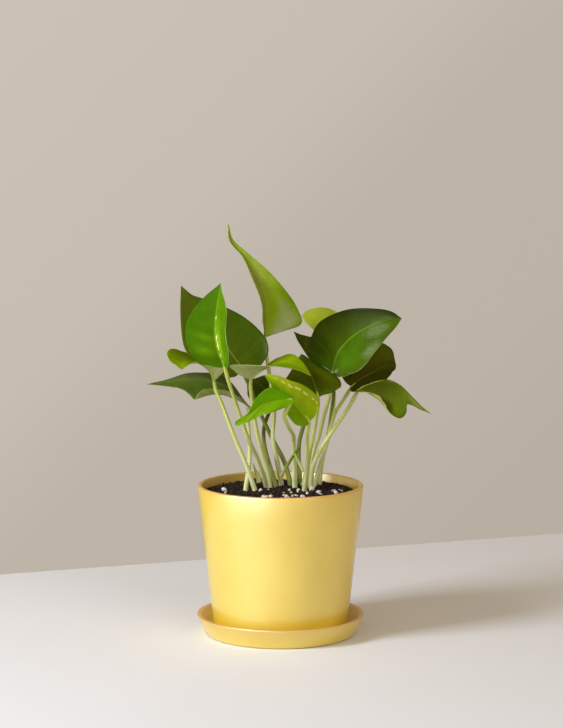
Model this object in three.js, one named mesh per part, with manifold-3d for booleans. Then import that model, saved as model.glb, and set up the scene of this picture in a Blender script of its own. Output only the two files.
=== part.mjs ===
// Potted pothos: heart-shaped leaves on long stalks, soil, a glazed round pot and its saucer.
// Millimetres, +Z up, origin at the middle of the saucer's underside, the camera side is -Y.
import * as THREE from 'three';
import { mergeVertices } from 'three/addons/utils/BufferGeometryUtils.js';
import Module from 'manifold-3d';

const wasm = await Module();
wasm.setup();

// Driving dimensions
const RIM_DIAMETER = 127.4;
const POT_TOP = 116.4;
const POT_TAPER = 0.109;
const WALL = 3.4;
const POT_FLOOR = 5.2;
const DRAIN_RADIUS = 6;
const SAUCER_RIM_RADIUS = 64.7;
const SAUCER_TOP = 15.5;
const SAUCER_FOOT_RADIUS = 58;
const SAUCER_FLOOR = 4.5;
const SAUCER_WALL = 3.6;
const GAP = 0.3;
const EDGE_ROUND = 2;
const SOIL_LEVEL = 109.4;
const SOIL_DOME = 3.8;
const SOIL_ROUGHNESS = 0.5;
const SOIL_RINGS = 9;
const ROOT_DEPTH = 11;
const BLADE_THICKNESS = 0.7;
const JOINT_SETBACK = 1.2;
const WAVE_HEIGHT = 0.9;
const WAVES_PER_SIDE = 3;
const LEAST_EDGE = 0.05;
const STALK_TOP_RADIUS = 1.35;
const STALK_FOOT_RADIUS = 2.3;

// Fineness
const ROUND_STEPS = 40;
const BLADE_ROWS = 14;
const BLADE_COLUMNS = 3;
const STALK_SIDES = 8;
const STALK_STEPS = 12;
const ARC_STEPS = 4;

// Derived sizes of the pot and saucer
const POT_BOTTOM = SAUCER_FLOOR + GAP;
const RIM_RADIUS = RIM_DIAMETER / 2;
const LIP = WALL / 2;
const POT_INSIDE_FLOOR = POT_BOTTOM + POT_FLOOR;

// Plain half outline of a blade, from the stalk joint to the tip.
// The first value runs along the rib in rib lengths, the second across it in half widths.
const HEART = [
  [0, 0], [-0.1, 0.16], [-0.15, 0.45], [-0.05, 0.8], [0.2, 1], [0.46, 0.88], [0.7, 0.54],
  [0.88, 0.17], [1, 0],
];

// Rows up to this share of the outline fan out from the stalk joint
const FAN_SHARE = 0.3;

// Colours of the glaze and soil, then the green shades of the blades and stalks
const GLAZE = 0xe6bf4f;
const SOIL_BROWN = 0x2b211a;
const FRESH = 0x6f9c12;
const MID = 0x5a8a1e;
const DEEP = 0x33500c;
const OLIVE = 0x6b7f16;
const PALE = 0xa3ad3c;
const STALK_LIGHT = 0xbec882;
const STALK_DARK = 0x6a7430;

// One half of a blade: its outline, its rise from rib to margin in degrees at even steps
// from joint to tip, and how far the margin rolls back
function half(outline, fold, roll = 0) {
  return { outline, fold, roll };
}

// Each leaf: the rib from stalk joint to tip, the side its upper face looks to, the full
// width, its two halves (right of the rib comes second, seen from above with the tip ahead),
// and the stalk from its foot in the soil to just under the joint
const LEAVES = [
  {
    name: 'top',
    rib: [
      [-12, 31, 226.8], [-11.1, 30, 241.2], [-11.3, 29, 253], [-15, 29, 265.8], [-21.5, 30, 278],
      [-29.9, 31, 291], [-38.4, 31, 301.5], [-40.5, 30, 315.1],
    ],
    face: [0.45, -0.85, 0.2],
    width: 60,
    halves: [
      half([
        [0, 0], [0.02, 0.12], [0.08, 0.34], [0.18, 0.56], [0.26, 0.52], [0.35, 0.49], [0.46, 0.39],
        [0.58, 0.22], [0.71, 0.08], [0.87, 0.08], [1, 0],
      ], [50, 45, 30]),
      half([
        [0, 0], [0.01, 0.14], [0.05, 0.45], [0.08, 0.81], [0.11, 0.94], [0.15, 0.95], [0.22, 0.84],
        [0.31, 0.62], [0.43, 0.42], [0.58, 0.26], [0.72, 0.13], [0.87, 0.06], [1, 0],
      ], [14, 20, 20]),
    ],
    stalk: [[1, 8, 112], [-3, 9, 134], [-6, 11, 151], [-5, 19, 171], [-8, 26, 194], [-11, 30, 213]],
    colour: MID,
  },
  {
    name: 'back_right',
    rib: [[54, 56, 229], [35, 60, 236], [16.9, 64, 240.2]],
    face: [0, -0.7, 0.7],
    width: 40,
    halves: [
      half([
        [0, 0], [-0.04, 0.14], [0.02, 0.42], [0.1, 0.7], [0.24, 0.88], [0.48, 0.83], [0.67, 0.62],
        [0.86, 0.35], [1, 0],
      ], [10, 5]),
      half([
        [0, 0], [-0.04, 0.14], [0.02, 0.36], [0.12, 0.48], [0.28, 0.54], [0.47, 0.62],
        [0.65, 0.56], [0.82, 0.44], [0.95, 0.26], [1, 0],
      ], [10, 5]),
    ],
    stalk: [[22, 16, 112], [25, 14, 137], [30, 17, 152], [34, 24, 167], [44, 44, 198]],
    colour: PALE,
  },
  {
    name: 'glossy_right',
    rib: [
      [39.8, -2, 203.9], [41.7, -8, 212.7], [45, -14, 221.6], [55.7, -25, 234.2],
      [73.3, -35, 244.6], [90.5, -38, 248.1],
    ],
    face: [-0.48, -0.8, 0.36],
    width: 68,
    halves: [
      half([
        [0, 0], [-0.05, 0.14], [-0.07, 0.39], [-0.1, 0.67], [-0.09, 0.9], [0.03, 0.91],
        [0.19, 0.84], [0.3, 0.81], [0.47, 0.66], [0.63, 0.5], [0.78, 0.33], [0.92, 0.18], [1, 0],
      ], [16, 12]),
      half([
        [0, 0], [0.02, 0.18], [0.09, 0.42], [0.19, 0.69], [0.36, 0.86], [0.48, 0.94], [0.59, 0.88],
        [0.68, 0.78], [0.78, 0.62], [0.86, 0.43], [0.94, 0.22], [1, 0],
      ], [16, 12]),
    ],
    stalk: [[26, 9, 112], [31, 8, 131], [37, 5, 153], [40, 3, 172], [41, 2, 185], [40, 0, 196]],
    colour: DEEP,
  },
  {
    name: 'dark_left',
    rib: [[-31, 14, 206], [-42, 18, 221], [-60, 24, 245], [-77, 28, 267]],
    face: [0.05, -0.95, 0.25],
    width: 62,
    halves: [
      half([
        [0, 0], [-0.06, 0.2], [-0.03, 0.41], [0.04, 0.54], [0.12, 0.63], [0.24, 0.75],
        [0.37, 0.87], [0.45, 0.89], [0.55, 0.8], [0.67, 0.63], [0.8, 0.41], [0.9, 0.21], [1, 0],
      ], [5, 5]),
      half([
        [0, 0], [-0.1, 0.12], [-0.12, 0.32], [-0.09, 0.59], [-0.04, 0.79], [0.06, 0.9],
        [0.19, 0.9], [0.34, 0.82], [0.46, 0.7], [0.58, 0.53], [0.68, 0.37], [0.77, 0.23],
        [0.86, 0.08], [0.94, 0.03], [1, 0],
      ], [5, 5]),
    ],
    stalk: [
      [8, 7, 112], [3, 14, 131], [-5, 18, 146], [-13, 17, 163], [-19, 16, 178], [-26, 14, 195],
    ],
    stalkColour: STALK_DARK,
    colour: DEEP,
  },
  {
    name: 'bright_left',
    rib: [
      [-42.4, -38, 212.4], [-46.7, -42, 224.8], [-48.7, -44, 238.5], [-47.3, -45, 256.6],
      [-44.5, -43, 274.9],
    ],
    face: [-0.5, -0.86, 0.05],
    width: 48,
    halves: [
      half([
        [0, 0], [-0.01, 0.12], [0.04, 0.4], [0.09, 0.68], [0.16, 0.81], [0.26, 0.89], [0.39, 0.97],
        [0.49, 0.93], [0.64, 0.75], [0.82, 0.44], [1, 0],
      ], [22, 18]),
      half([
        [0, 0], [-0.02, 0.11], [0.06, 0.34], [0.24, 0.56], [0.37, 0.56], [0.49, 0.48], [0.6, 0.51],
        [0.7, 0.5], [0.79, 0.34], [0.9, 0.12], [1, 0],
      ], [22, 18]),
    ],
    stalk: [[-11, 5, 112], [-17, -2, 134], [-25, -11, 154], [-32, -21, 176], [-39, -33, 200]],
    colour: FRESH,
  },
  {
    name: 'level_left',
    rib: [
      [-50.6, -6, 197.1], [-52.5, -9, 202.9], [-56, -14, 208.1], [-61.5, -20, 212.2],
      [-68.1, -27, 214.6], [-72.7, -32, 212.9], [-74.5, -35, 209.3],
    ],
    face: [-0.25, -0.12, 1],
    width: 50,
    halves: [
      half([
        [0, 0], [0.05, 0.15], [0.12, 0.36], [0.16, 0.56], [0.23, 0.42], [0.33, 0.26], [0.5, 0.2],
        [0.72, 0.28], [0.87, 0.25], [0.95, 0.1], [1, 0],
      ], [45, 25, 0, -5, -15]),
      half([
        [0, 0], [-0.02, 0.18], [0.06, 0.4], [0.2, 0.52], [0.36, 0.5], [0.5, 0.52], [0.64, 0.64],
        [0.79, 0.7], [0.88, 0.64], [0.92, 0.46], [0.95, 0.22], [1, 0],
      ], [75, 50, 35, 35]),
    ],
    stalk: [[-19, -15, 111], [-26, -16, 133], [-36, -15, 157], [-44, -11, 178], [-49, -7, 189]],
    colour: OLIVE,
  },
  {
    name: 'middle',
    rib: [
      [-22.7, -24, 200.3], [-20, -28, 204.1], [-14.9, -32, 208], [-7.5, -36, 212.1],
      [1.4, -40, 215], [12.6, -45, 213.3], [22.9, -49, 206.1],
    ],
    face: [0, -0.1, 1],
    width: 48,
    halves: [
      half([
        [0, 0], [-0.02, 0.16], [0.05, 0.36], [0.14, 0.5], [0.21, 0.52], [0.27, 0.6], [0.33, 0.84],
        [0.45, 0.86], [0.6, 0.6], [0.74, 0.34], [0.87, 0.19], [1, 0],
      ], [0, 10, 15, 10]),
      half([
        [0, 0], [0.02, 0.16], [0.05, 0.42], [0.085, 0.69], [0.11, 0.93], [0.17, 0.86],
        [0.27, 0.69], [0.41, 0.57], [0.54, 0.47], [0.71, 0.31], [0.86, 0.16], [1, 0],
      ], [45, 30, -5, -10, -10]),
    ],
    stalk: [[-8, -6, 112], [-10, -8, 127], [-15, -15, 146], [-19, -21, 165], [-22, -24, 187]],
    colour: FRESH,
  },
  {
    name: 'olive_middle',
    rib: [[28.3, -31, 188], [25.9, -21, 196.1], [22, -7, 204.7], [15.8, 5, 216.4]],
    face: [0, -0.6, 0.8],
    width: 48,
    halves: [
      half([
        [0, 0], [-0.02, 0.2], [-0.03, 0.46], [0.03, 0.76], [0.18, 0.98], [0.4, 0.98], [0.62, 0.72],
        [0.8, 0.4], [0.93, 0.15], [1, 0],
      ], [36, 15, 8], 0.2),
      half([
        [0, 0], [-0.03, 0.22], [-0.05, 0.45], [-0.05, 0.7], [-0.02, 0.88], [0.17, 0.88],
        [0.37, 0.7], [0.55, 0.46], [0.75, 0.25], [0.93, 0.1], [1, 0],
      ], [36, 15, 8], 0.2),
    ],
    stalk: [[17, 9, 112], [19, 8, 120], [22, 1, 139], [26, -11, 161], [28, -24, 178]],
    colour: OLIVE,
  },
  {
    name: 'dark_right',
    rib: [[55, 16, 190], [61.9, 21, 194.8], [72.5, 27, 200], [82, 31, 203.6], [90, 33, 203.9]],
    face: [0.05, -0.6, 0.8],
    width: 54,
    halves: [
      half([
        [0, 0], [-0.04, 0.16], [-0.02, 0.38], [0.1, 0.6], [0.3, 0.7], [0.5, 0.76], [0.73, 0.8],
        [0.84, 0.81], [0.91, 0.65], [1, 0.44], [1, 0.22], [1, 0],
      ], [26, 18]),
      half([
        [0, 0], [-0.09, 0.08], [-0.1, 0.26], [0.02, 0.46], [0.3, 0.57], [0.56, 0.59], [0.91, 0.27],
        [1, 0],
      ], [18, 10]),
    ],
    stalk: [[30, 18, 111], [32, 18, 130], [37, 16, 152], [42, 15, 169], [48, 15, 179]],
    colour: DEEP,
  },
  {
    name: 'drooping_right',
    rib: [
      [59, -12, 191], [69, -16, 197], [81, -22, 200], [92, -27, 195], [101, -29, 185],
      [113, -28, 175],
    ],
    face: [0.1, -0.1, 1],
    width: 41,
    halves: [
      half([
        [0, 0], [-0.04, 0.1], [-0.02, 0.25], [0.06, 0.4], [0.25, 0.5], [0.5, 0.42], [0.75, 0.24],
        [0.9, 0.1], [1, 0],
      ], [-25, -25, -20]),
      half([
        [0, 0], [-0.02, 0.2], [0.08, 0.46], [0.2, 0.6], [0.33, 0.78], [0.52, 0.93], [0.69, 0.97],
        [0.77, 0.86], [0.8, 0.74], [0.79, 0.54], [0.75, 0.3], [0.8, 0.16], [0.89, 0.11], [1, 0],
      ], [-10, -35, -62, -72, -72]),
    ],
    stalk: [[23, -2, 112], [25, -6, 131], [31, -8, 145], [39, -10, 158], [51, -12, 176]],
    colour: OLIVE,
  },
  {
    name: 'low_left',
    rib: [[-25, 20, 174], [-36, 17, 186], [-48, 13, 193], [-70, 6, 196.5], [-102, -4, 194]],
    face: [0, -0.1, 1],
    width: 50,
    halves: [
      half([
        [0, 0], [0.03, 0.18], [0.16, 0.5], [0.29, 0.66], [0.38, 0.58], [0.46, 0.54], [0.53, 0.64],
        [0.6, 0.82], [0.64, 0.96], [0.66, 0.7], [0.7, 0.53], [0.75, 0.44], [0.79, 0.36],
        [0.89, 0.19], [1, 0],
      ], [-10, -5, -28, -5]),
      half([
        [0, 0], [-0.05, 0.2], [-0.04, 0.55], [0.07, 0.88], [0.22, 1.05], [0.35, 0.95], [0.46, 0.8],
        [0.57, 0.56], [0.69, 0.34], [0.8, 0.22], [0.9, 0.12], [1, 0],
      ], [6, 8, 5]),
    ],
    stalk: [[-27, -8, 111], [-24, 0, 133], [-24, 8, 149], [-25, 15, 162]],
    colour: MID,
  },
  {
    name: 'back_middle',
    rib: [[-7, 42, 174], [-15, 48, 186], [-27, 58, 190]],
    face: [0.1, -0.6, 0.8],
    width: 36,
    halves: [
      half(HEART, [10, 5]),
      half(HEART, [10, 5]),
    ],
    stalk: [[-3, 1, 112], [-8, 2, 129], [-12, 10, 143], [-13, 29, 155], [-9, 43, 166]],
    stalkColour: STALK_DARK,
    colour: DEEP,
  },
  {
    name: 'small_front',
    rib: [
      [8.4, -68, 191.2], [-3.5, -70, 190.4], [-14.6, -73, 187.2], [-21.9, -75, 180.6],
      [-27.2, -76, 177], [-33.6, -76, 173.4],
    ],
    face: [-0.1, -0.97, 0.2],
    width: 32,
    halves: [
      half([
        [0, 0], [-0.03, 0.14], [0.08, 0.34], [0.23, 0.47], [0.42, 0.52], [0.6, 0.4], [0.74, 0.22],
        [0.87, 0.17], [0.96, 0.12], [1, 0],
      ], [14, 10]),
      half([
        [0, 0], [-0.03, 0.13], [0.1, 0.34], [0.2, 0.54], [0.28, 0.64], [0.36, 0.61], [0.45, 0.5],
        [0.55, 0.34], [0.66, 0.2], [0.76, 0.14], [0.87, 0.15], [0.96, 0.12], [1, 0],
      ], [14, 10]),
    ],
    stalk: [
      [11, -5, 112], [10, -7, 139], [10, -16, 153], [9, -38, 161], [6, -58, 169], [3, -67, 178],
      [5, -67, 184],
    ],
    colour: FRESH,
  },
  {
    name: 'speckled_front',
    rib: [
      [21.3, -50, 172.6], [11.8, -56, 183.7], [3.1, -60, 193.8], [-5.2, -61, 202.9],
      [-12.1, -61, 208.6],
    ],
    face: [0.25, -0.9, 0.35],
    width: 46,
    halves: [
      half([
        [0, 0], [-0.03, 0.12], [0.01, 0.26], [0.08, 0.36], [0.17, 0.42], [0.31, 0.41], [0.43, 0.3],
        [0.61, 0.23], [0.76, 0.17], [0.9, 0.08], [1, 0],
      ], [-6, -4], 0.2),
      half([
        [0, 0], [-0.03, 0.1], [-0.05, 0.26], [-0.06, 0.48], [-0.03, 0.75], [0.03, 0.97],
        [0.2, 0.94], [0.43, 0.77], [0.63, 0.53], [0.77, 0.38], [0.9, 0.19], [1, 0],
      ], [-6, -4], 0.35),
    ],
    stalk: [[18, -11, 112], [20, -18, 129], [20, -32, 148], [20, -44, 162]],
    colour: FRESH,
  },
  {
    name: 'pointed_back',
    rib: [[34.2, 38, 208.7], [22.6, 40, 216.7], [10.3, 41, 229.9]],
    face: [-0.2, -0.8, 0.5],
    width: 42,
    halves: [
      half([
        [0, 0], [-0.1, 0.16], [-0.13, 0.4], [-0.02, 0.52], [0.2, 0.4], [0.42, 0.25], [0.61, 0.18],
        [0.79, 0.12], [1, 0],
      ], [10, 5]),
      half([
        [0, 0], [-0.08, 0.16], [-0.08, 0.4], [0.06, 0.54], [0.26, 0.5], [0.55, 0.38], [0.73, 0.23],
        [0.87, 0.09], [1, 0],
      ], [10, 5]),
    ],
    stalk: [[15, 18, 112], [14, 21, 140], [17, 26, 155], [26, 33, 180], [32.5, 36, 198.5]],
    stalkColour: STALK_DARK,
    colour: DEEP,
  },
];

// Smooth curve through points of two or three values
function curveThrough(points) {
  const vectors = points.map(([x, y, z = 0]) => new THREE.Vector3(x, y, z));
  return new THREE.CatmullRomCurve3(vectors, false, 'catmullrom', 0.5);
}

// Value at a share of the way through an evenly spaced list
function blend(list, share) {
  const place = share * (list.length - 1);
  const low = Math.min(Math.floor(place), list.length - 2);
  return THREE.MathUtils.lerp(list[low], list[low + 1], place - low);
}

// Middle surface of a blade: a point for a side (-1 left, 1 right of the rib), a share s
// along the outline and a share t from rib to margin
function bladeSurface(leaf) {
  const rib = curveThrough(leaf.rib);
  const ribLength = rib.getLength();
  const chord = rib.getPoint(1).sub(rib.getPoint(0)).normalize();
  const across = chord.cross(new THREE.Vector3(...leaf.face)).normalize();
  const outlines = leaf.halves.map((side) => curveThrough(side.outline));
  const halfWidth = leaf.width / 2;
  return (side, s, t) => {
    const form = leaf.halves[side < 0 ? 0 : 1];
    const edge = outlines[side < 0 ? 0 : 1].getPoint(s);
    const start = Math.pow(THREE.MathUtils.clamp((s - FAN_SHARE) / (1 - FAN_SHARE), 0, 1), 1.5);
    const out = Math.max(edge.y, 0) * halfWidth;
    const onRib = THREE.MathUtils.clamp(edge.x, 0, 1);
    const tangent = rib.getTangentAt(onRib);
    const up = new THREE.Vector3().crossVectors(across, tangent).normalize();
    const sideways = new THREE.Vector3().crossVectors(tangent, up);
    const fold = THREE.MathUtils.degToRad(blend(form.fold, onRib));
    const ripple = Math.sin(2 * Math.PI * WAVES_PER_SIDE * s + side) * Math.sin(Math.PI * s);
    const bow = WAVE_HEIGHT * ripple - form.roll * out * out / halfWidth;
    const margin = rib.getPointAt(onRib)
      .addScaledVector(tangent, Math.min(edge.x, 0) * ribLength)
      .addScaledVector(sideways, side * out * Math.cos(fold))
      .addScaledVector(up, out * Math.sin(fold) + bow);
    return rib.getPointAt(start).lerp(margin, t).addScaledVector(up, bow * t * (t - 1));
  };
}

// Indexed list of points in which points at one place are kept once
function pointList() {
  const points = [];
  const places = new Map();
  const add = (point) => {
    const key = point.toArray().map((value) => value.toFixed(4)).join(' ');
    if (!places.has(key)) {
      places.set(key, points.length);
      points.push(point);
    }
    return places.get(key);
  };
  return { points, add };
}

// Triangles of the middle surface, upper face out, and the margin as one loop of corners
function bladeNet(leaf) {
  const surface = bladeSurface(leaf);
  const { points, add } = pointList();
  const triangles = [];
  const margins = [];
  for (const side of [-1, 1]) {
    const rows = [];
    for (let i = 0; i <= BLADE_ROWS; i += 1) {
      const row = [];
      for (let j = 0; j <= BLADE_COLUMNS; j += 1) {
        row.push(add(surface(side, i / BLADE_ROWS, j / BLADE_COLUMNS)));
      }
      rows.push(row);
    }
    for (let i = 0; i < BLADE_ROWS; i += 1) {
      for (let j = 0; j < BLADE_COLUMNS; j += 1) {
        const corners = [rows[i][j], rows[i + 1][j], rows[i + 1][j + 1], rows[i][j + 1]];
        const [a, b, c, d] = side < 0 ? corners : corners.reverse();
        triangles.push([a, b, c], [a, c, d]);
      }
    }
    margins.push(rows.map((row) => row[BLADE_COLUMNS]));
  }
  const whole = triangles.filter(([a, b, c]) => a !== b && b !== c && c !== a);
  const loop = [...margins[0], ...margins[1].slice(1, -1).reverse()];
  return { points, triangles: whole, loop };
}

// A thin closed body: the net moved half the thickness up and down, joined round the margin
function bladeGeometry(leaf, thickness) {
  const { points, triangles, loop } = bladeNet(leaf);
  const normals = points.map(() => new THREE.Vector3());
  const edgeOne = new THREE.Vector3();
  const edgeTwo = new THREE.Vector3();
  for (const [a, b, c] of triangles) {
    edgeOne.subVectors(points[b], points[a]);
    edgeTwo.subVectors(points[c], points[a]);
    edgeOne.cross(edgeTwo);
    for (const corner of [a, b, c]) {
      normals[corner].add(edgeOne);
    }
  }
  const positions = [];
  for (const lift of [thickness / 2, -thickness / 2]) {
    points.forEach((point, k) => {
      const lifted = point.clone().addScaledVector(normals[k].clone().normalize(), lift);
      positions.push(...lifted.toArray());
    });
  }
  const under = points.length;
  const index = [];
  for (const [a, b, c] of triangles) {
    index.push(a, b, c, under + c, under + b, under + a);
  }
  loop.forEach((corner, k) => {
    const next = loop[(k + 1) % loop.length];
    if (corner !== next) {
      index.push(corner, next, under + corner, next, under + next, under + corner);
    }
  });
  const geometry = new THREE.BufferGeometry();
  geometry.setAttribute('position', new THREE.Float32BufferAttribute(positions, 3));
  geometry.setIndex(index);
  return geometry;
}

// A round stem that grows thinner from its foot to its top
function stemGeometry(points, footRadius, topRadius) {
  const path = curveThrough(points);
  const frames = path.computeFrenetFrames(STALK_STEPS);
  const positions = [];
  for (let i = 0; i <= STALK_STEPS; i += 1) {
    const share = i / STALK_STEPS;
    const centre = path.getPointAt(share);
    const radius = THREE.MathUtils.lerp(footRadius, topRadius, Math.sqrt(share));
    for (let k = 0; k < STALK_SIDES; k += 1) {
      const angle = (k / STALK_SIDES) * 2 * Math.PI;
      const corner = centre.clone()
        .addScaledVector(frames.normals[i], radius * Math.cos(angle))
        .addScaledVector(frames.binormals[i], radius * Math.sin(angle));
      positions.push(...corner.toArray());
    }
  }
  const index = [];
  for (let i = 0; i < STALK_STEPS; i += 1) {
    for (let k = 0; k < STALK_SIDES; k += 1) {
      const a = i * STALK_SIDES + k;
      const b = i * STALK_SIDES + (k + 1) % STALK_SIDES;
      index.push(a, b, b + STALK_SIDES, a, b + STALK_SIDES, a + STALK_SIDES);
    }
  }
  const last = STALK_STEPS * STALK_SIDES;
  for (let k = 1; k < STALK_SIDES - 1; k += 1) {
    index.push(0, k + 1, k, last, last + k, last + k + 1);
  }
  const geometry = new THREE.BufferGeometry();
  geometry.setAttribute('position', new THREE.Float32BufferAttribute(positions, 3));
  geometry.setIndex(index);
  return geometry;
}

// Profile turned about the Z axis
function turned(profile) {
  const geometry = new THREE.LatheGeometry(profile, ROUND_STEPS);
  return geometry.rotateX(Math.PI / 2);
}

// Points of a round edge about a centre, between two angles in degrees
function arc(radius, height, size, from, to) {
  const points = [];
  for (let i = 0; i <= ARC_STEPS; i += 1) {
    const angle = THREE.MathUtils.degToRad(THREE.MathUtils.lerp(from, to, i / ARC_STEPS));
    points.push(new THREE.Vector2(radius + size * Math.cos(angle), height + size * Math.sin(angle)));
  }
  return points;
}

// Closed solid from a geometry, its coincident corners joined
function solidOf(geometry) {
  const bare = geometry.clone();
  bare.deleteAttribute('normal');
  bare.deleteAttribute('uv');
  const merged = mergeVertices(bare, 1e-4);
  const corners = [];
  for (let k = 0; k < merged.index.count; k += 3) {
    const [a, b, c] = [0, 1, 2].map((step) => merged.index.getX(k + step));
    if (a !== b && b !== c && c !== a) {
      corners.push(a, b, c);
    }
  }
  const triVerts = new Uint32Array(corners);
  const vertProperties = new Float32Array(merged.attributes.position.array);
  return new wasm.Manifold(new wasm.Mesh({ numProp: 3, vertProperties, triVerts }));
}

// Triangles of a solid
function geometryOf(solid) {
  const mesh = solid.getMesh();
  const geometry = new THREE.BufferGeometry();
  geometry.setAttribute('position', new THREE.Float32BufferAttribute(mesh.vertProperties, 3));
  geometry.setIndex([...mesh.triVerts]);
  return geometry;
}

// Largest of the separate bodies of a solid, its sliver faces taken out
function mainBody(solid) {
  const bodies = solid.asOriginal().simplify(LEAST_EDGE).decompose();
  return bodies.reduce((most, body) => (body.volume() > most.volume() ? body : most));
}

// Named mesh with a plain colour
function piece(name, geometry, colour, roughness) {
  geometry.computeVertexNormals();
  const material = new THREE.MeshStandardMaterial({ color: colour, roughness, metalness: 0 });
  const mesh = new THREE.Mesh(geometry, material);
  mesh.name = name;
  return mesh;
}

// Radius of the pot's outer wall at a height, measured down from the rim
function potRadius(height) {
  return RIM_RADIUS - (POT_TOP - height) * POT_TAPER;
}

// The pot: a straight tapered wall with a rounded lip and a drain hole in its floor
function pot() {
  const foot = potRadius(POT_BOTTOM);
  const well = potRadius(POT_INSIDE_FLOOR) - WALL;
  const profile = [
    new THREE.Vector2(DRAIN_RADIUS, POT_BOTTOM),
    ...arc(foot - EDGE_ROUND, POT_BOTTOM + EDGE_ROUND, EDGE_ROUND, -90, 0),
    ...arc(RIM_RADIUS - LIP, POT_TOP - LIP, LIP, 0, 180),
    new THREE.Vector2(well, POT_INSIDE_FLOOR + EDGE_ROUND),
    new THREE.Vector2(well - EDGE_ROUND, POT_INSIDE_FLOOR),
    new THREE.Vector2(DRAIN_RADIUS, POT_INSIDE_FLOOR),
    new THREE.Vector2(DRAIN_RADIUS, POT_BOTTOM),
  ];
  return piece('pot', geometryOf(solidOf(turned(profile))), GLAZE, 0.22);
}

// A shallow dish whose wall leans outward; the pot stands on its flat inner floor
function saucer() {
  const lip = SAUCER_WALL / 2;
  const footMiddle = SAUCER_FOOT_RADIUS - EDGE_ROUND;
  const well = SAUCER_FOOT_RADIUS - SAUCER_WALL;
  const profile = [
    new THREE.Vector2(0, 0),
    ...arc(footMiddle, EDGE_ROUND, EDGE_ROUND, -90, -20),
    ...arc(SAUCER_RIM_RADIUS - lip, SAUCER_TOP - lip, lip, 0, 180),
    new THREE.Vector2(well + EDGE_ROUND / 2, SAUCER_FLOOR + EDGE_ROUND),
    new THREE.Vector2(well - EDGE_ROUND / 2, SAUCER_FLOOR),
    new THREE.Vector2(0, SAUCER_FLOOR),
  ];
  return piece('saucer', geometryOf(solidOf(turned(profile))), GLAZE, 0.22);
}

// Height of the soil at a place: a low dome with small humps
function soilHeight(x, y) {
  const inside = potRadius(SOIL_LEVEL) - WALL;
  const dome = SOIL_DOME * (1 - (x * x + y * y) / (inside * inside));
  const humps = Math.sin(x * 0.31 + 1) * Math.cos(y * 0.27) + Math.sin(x * 0.13 - y * 0.19);
  return SOIL_LEVEL + dome + SOIL_ROUGHNESS * humps;
}

// The soil fills the pot; each stalk stands in a plain hole in it
function soil() {
  const top = potRadius(SOIL_LEVEL) - WALL - GAP;
  const bottom = potRadius(POT_INSIDE_FLOOR) - WALL - GAP - EDGE_ROUND;
  const floor = POT_INSIDE_FLOOR + GAP;
  const profile = [new THREE.Vector2(0, floor), new THREE.Vector2(bottom, floor)];
  for (let k = 0; k <= SOIL_RINGS; k += 1) {
    profile.push(new THREE.Vector2(top * (1 - k / SOIL_RINGS), SOIL_LEVEL));
  }
  const geometry = turned(profile);
  const place = geometry.attributes.position;
  for (let k = 0; k < place.count; k += 1) {
    if (place.getZ(k) > SOIL_LEVEL - 1) {
      place.setZ(k, soilHeight(place.getX(k), place.getY(k)));
    }
  }
  let body = solidOf(geometry);
  for (const leaf of LEAVES) {
    const path = stalkPath(leaf, GAP);
    const hole = stemGeometry(path, STALK_FOOT_RADIUS + GAP, STALK_TOP_RADIUS + GAP);
    body = body.subtract(solidOf(hole));
  }
  return piece('soil', geometryOf(mainBody(body)), SOIL_BROWN, 0.95);
}

// Stalk centre line from below the soil to just short of the joint
function stalkPath(leaf, extraDepth = 0) {
  const [x, y, z] = leaf.stalk[0];
  const joint = new THREE.Vector3(...leaf.rib[0]);
  const below = new THREE.Vector3(...leaf.stalk.at(-1));
  const end = joint.clone().addScaledVector(below.sub(joint).normalize(), JOINT_SETBACK);
  return [[x, y, z - ROOT_DEPTH - extraDepth], ...leaf.stalk, end.toArray()];
}

// The stalk ends just under its own blade
function stalk(leaf) {
  const whole = solidOf(stemGeometry(stalkPath(leaf), STALK_FOOT_RADIUS, STALK_TOP_RADIUS));
  const underBlade = solidOf(bladeGeometry(leaf, BLADE_THICKNESS + 3 * GAP));
  const ownBlade = solidOf(bladeGeometry(leaf, BLADE_THICKNESS));
  const cut = mainBody(whole.subtract(underBlade).subtract(ownBlade));
  return piece(`stalk_${leaf.name}`, geometryOf(cut), leaf.stalkColour ?? STALK_LIGHT, 0.5);
}

function blade(leaf) {
  const solid = solidOf(bladeGeometry(leaf, BLADE_THICKNESS));
  return piece(`leaf_${leaf.name}`, geometryOf(solid), leaf.colour, 0.4);
}

const plant = new THREE.Group();
for (const leaf of LEAVES) {
  plant.add(blade(leaf), stalk(leaf));
}

const potted = new THREE.Group();
potted.add(saucer(), pot(), soil(), plant);

export default potted;
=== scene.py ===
# Potted pothos, in metres with +Z up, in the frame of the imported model.
import math
import random
from bisect import bisect_right
from itertools import accumulate

import bmesh
import bpy
from mathutils import Matrix, Vector, noise


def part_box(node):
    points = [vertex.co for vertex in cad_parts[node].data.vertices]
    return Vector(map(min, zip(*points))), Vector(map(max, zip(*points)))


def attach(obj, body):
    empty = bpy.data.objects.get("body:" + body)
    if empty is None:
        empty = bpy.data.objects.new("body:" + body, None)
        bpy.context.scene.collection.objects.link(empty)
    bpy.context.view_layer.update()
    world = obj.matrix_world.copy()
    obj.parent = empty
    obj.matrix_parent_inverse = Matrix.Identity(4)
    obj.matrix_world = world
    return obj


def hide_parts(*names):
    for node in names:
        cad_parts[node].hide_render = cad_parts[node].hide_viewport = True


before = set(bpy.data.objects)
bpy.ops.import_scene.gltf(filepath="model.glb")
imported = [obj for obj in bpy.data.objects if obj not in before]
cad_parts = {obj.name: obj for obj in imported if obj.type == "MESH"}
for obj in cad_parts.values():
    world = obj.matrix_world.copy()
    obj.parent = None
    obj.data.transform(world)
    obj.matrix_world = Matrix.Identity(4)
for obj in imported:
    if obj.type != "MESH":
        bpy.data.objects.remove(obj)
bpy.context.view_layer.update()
scene = bpy.context.scene
scene.view_settings.view_transform = "Standard"

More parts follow.
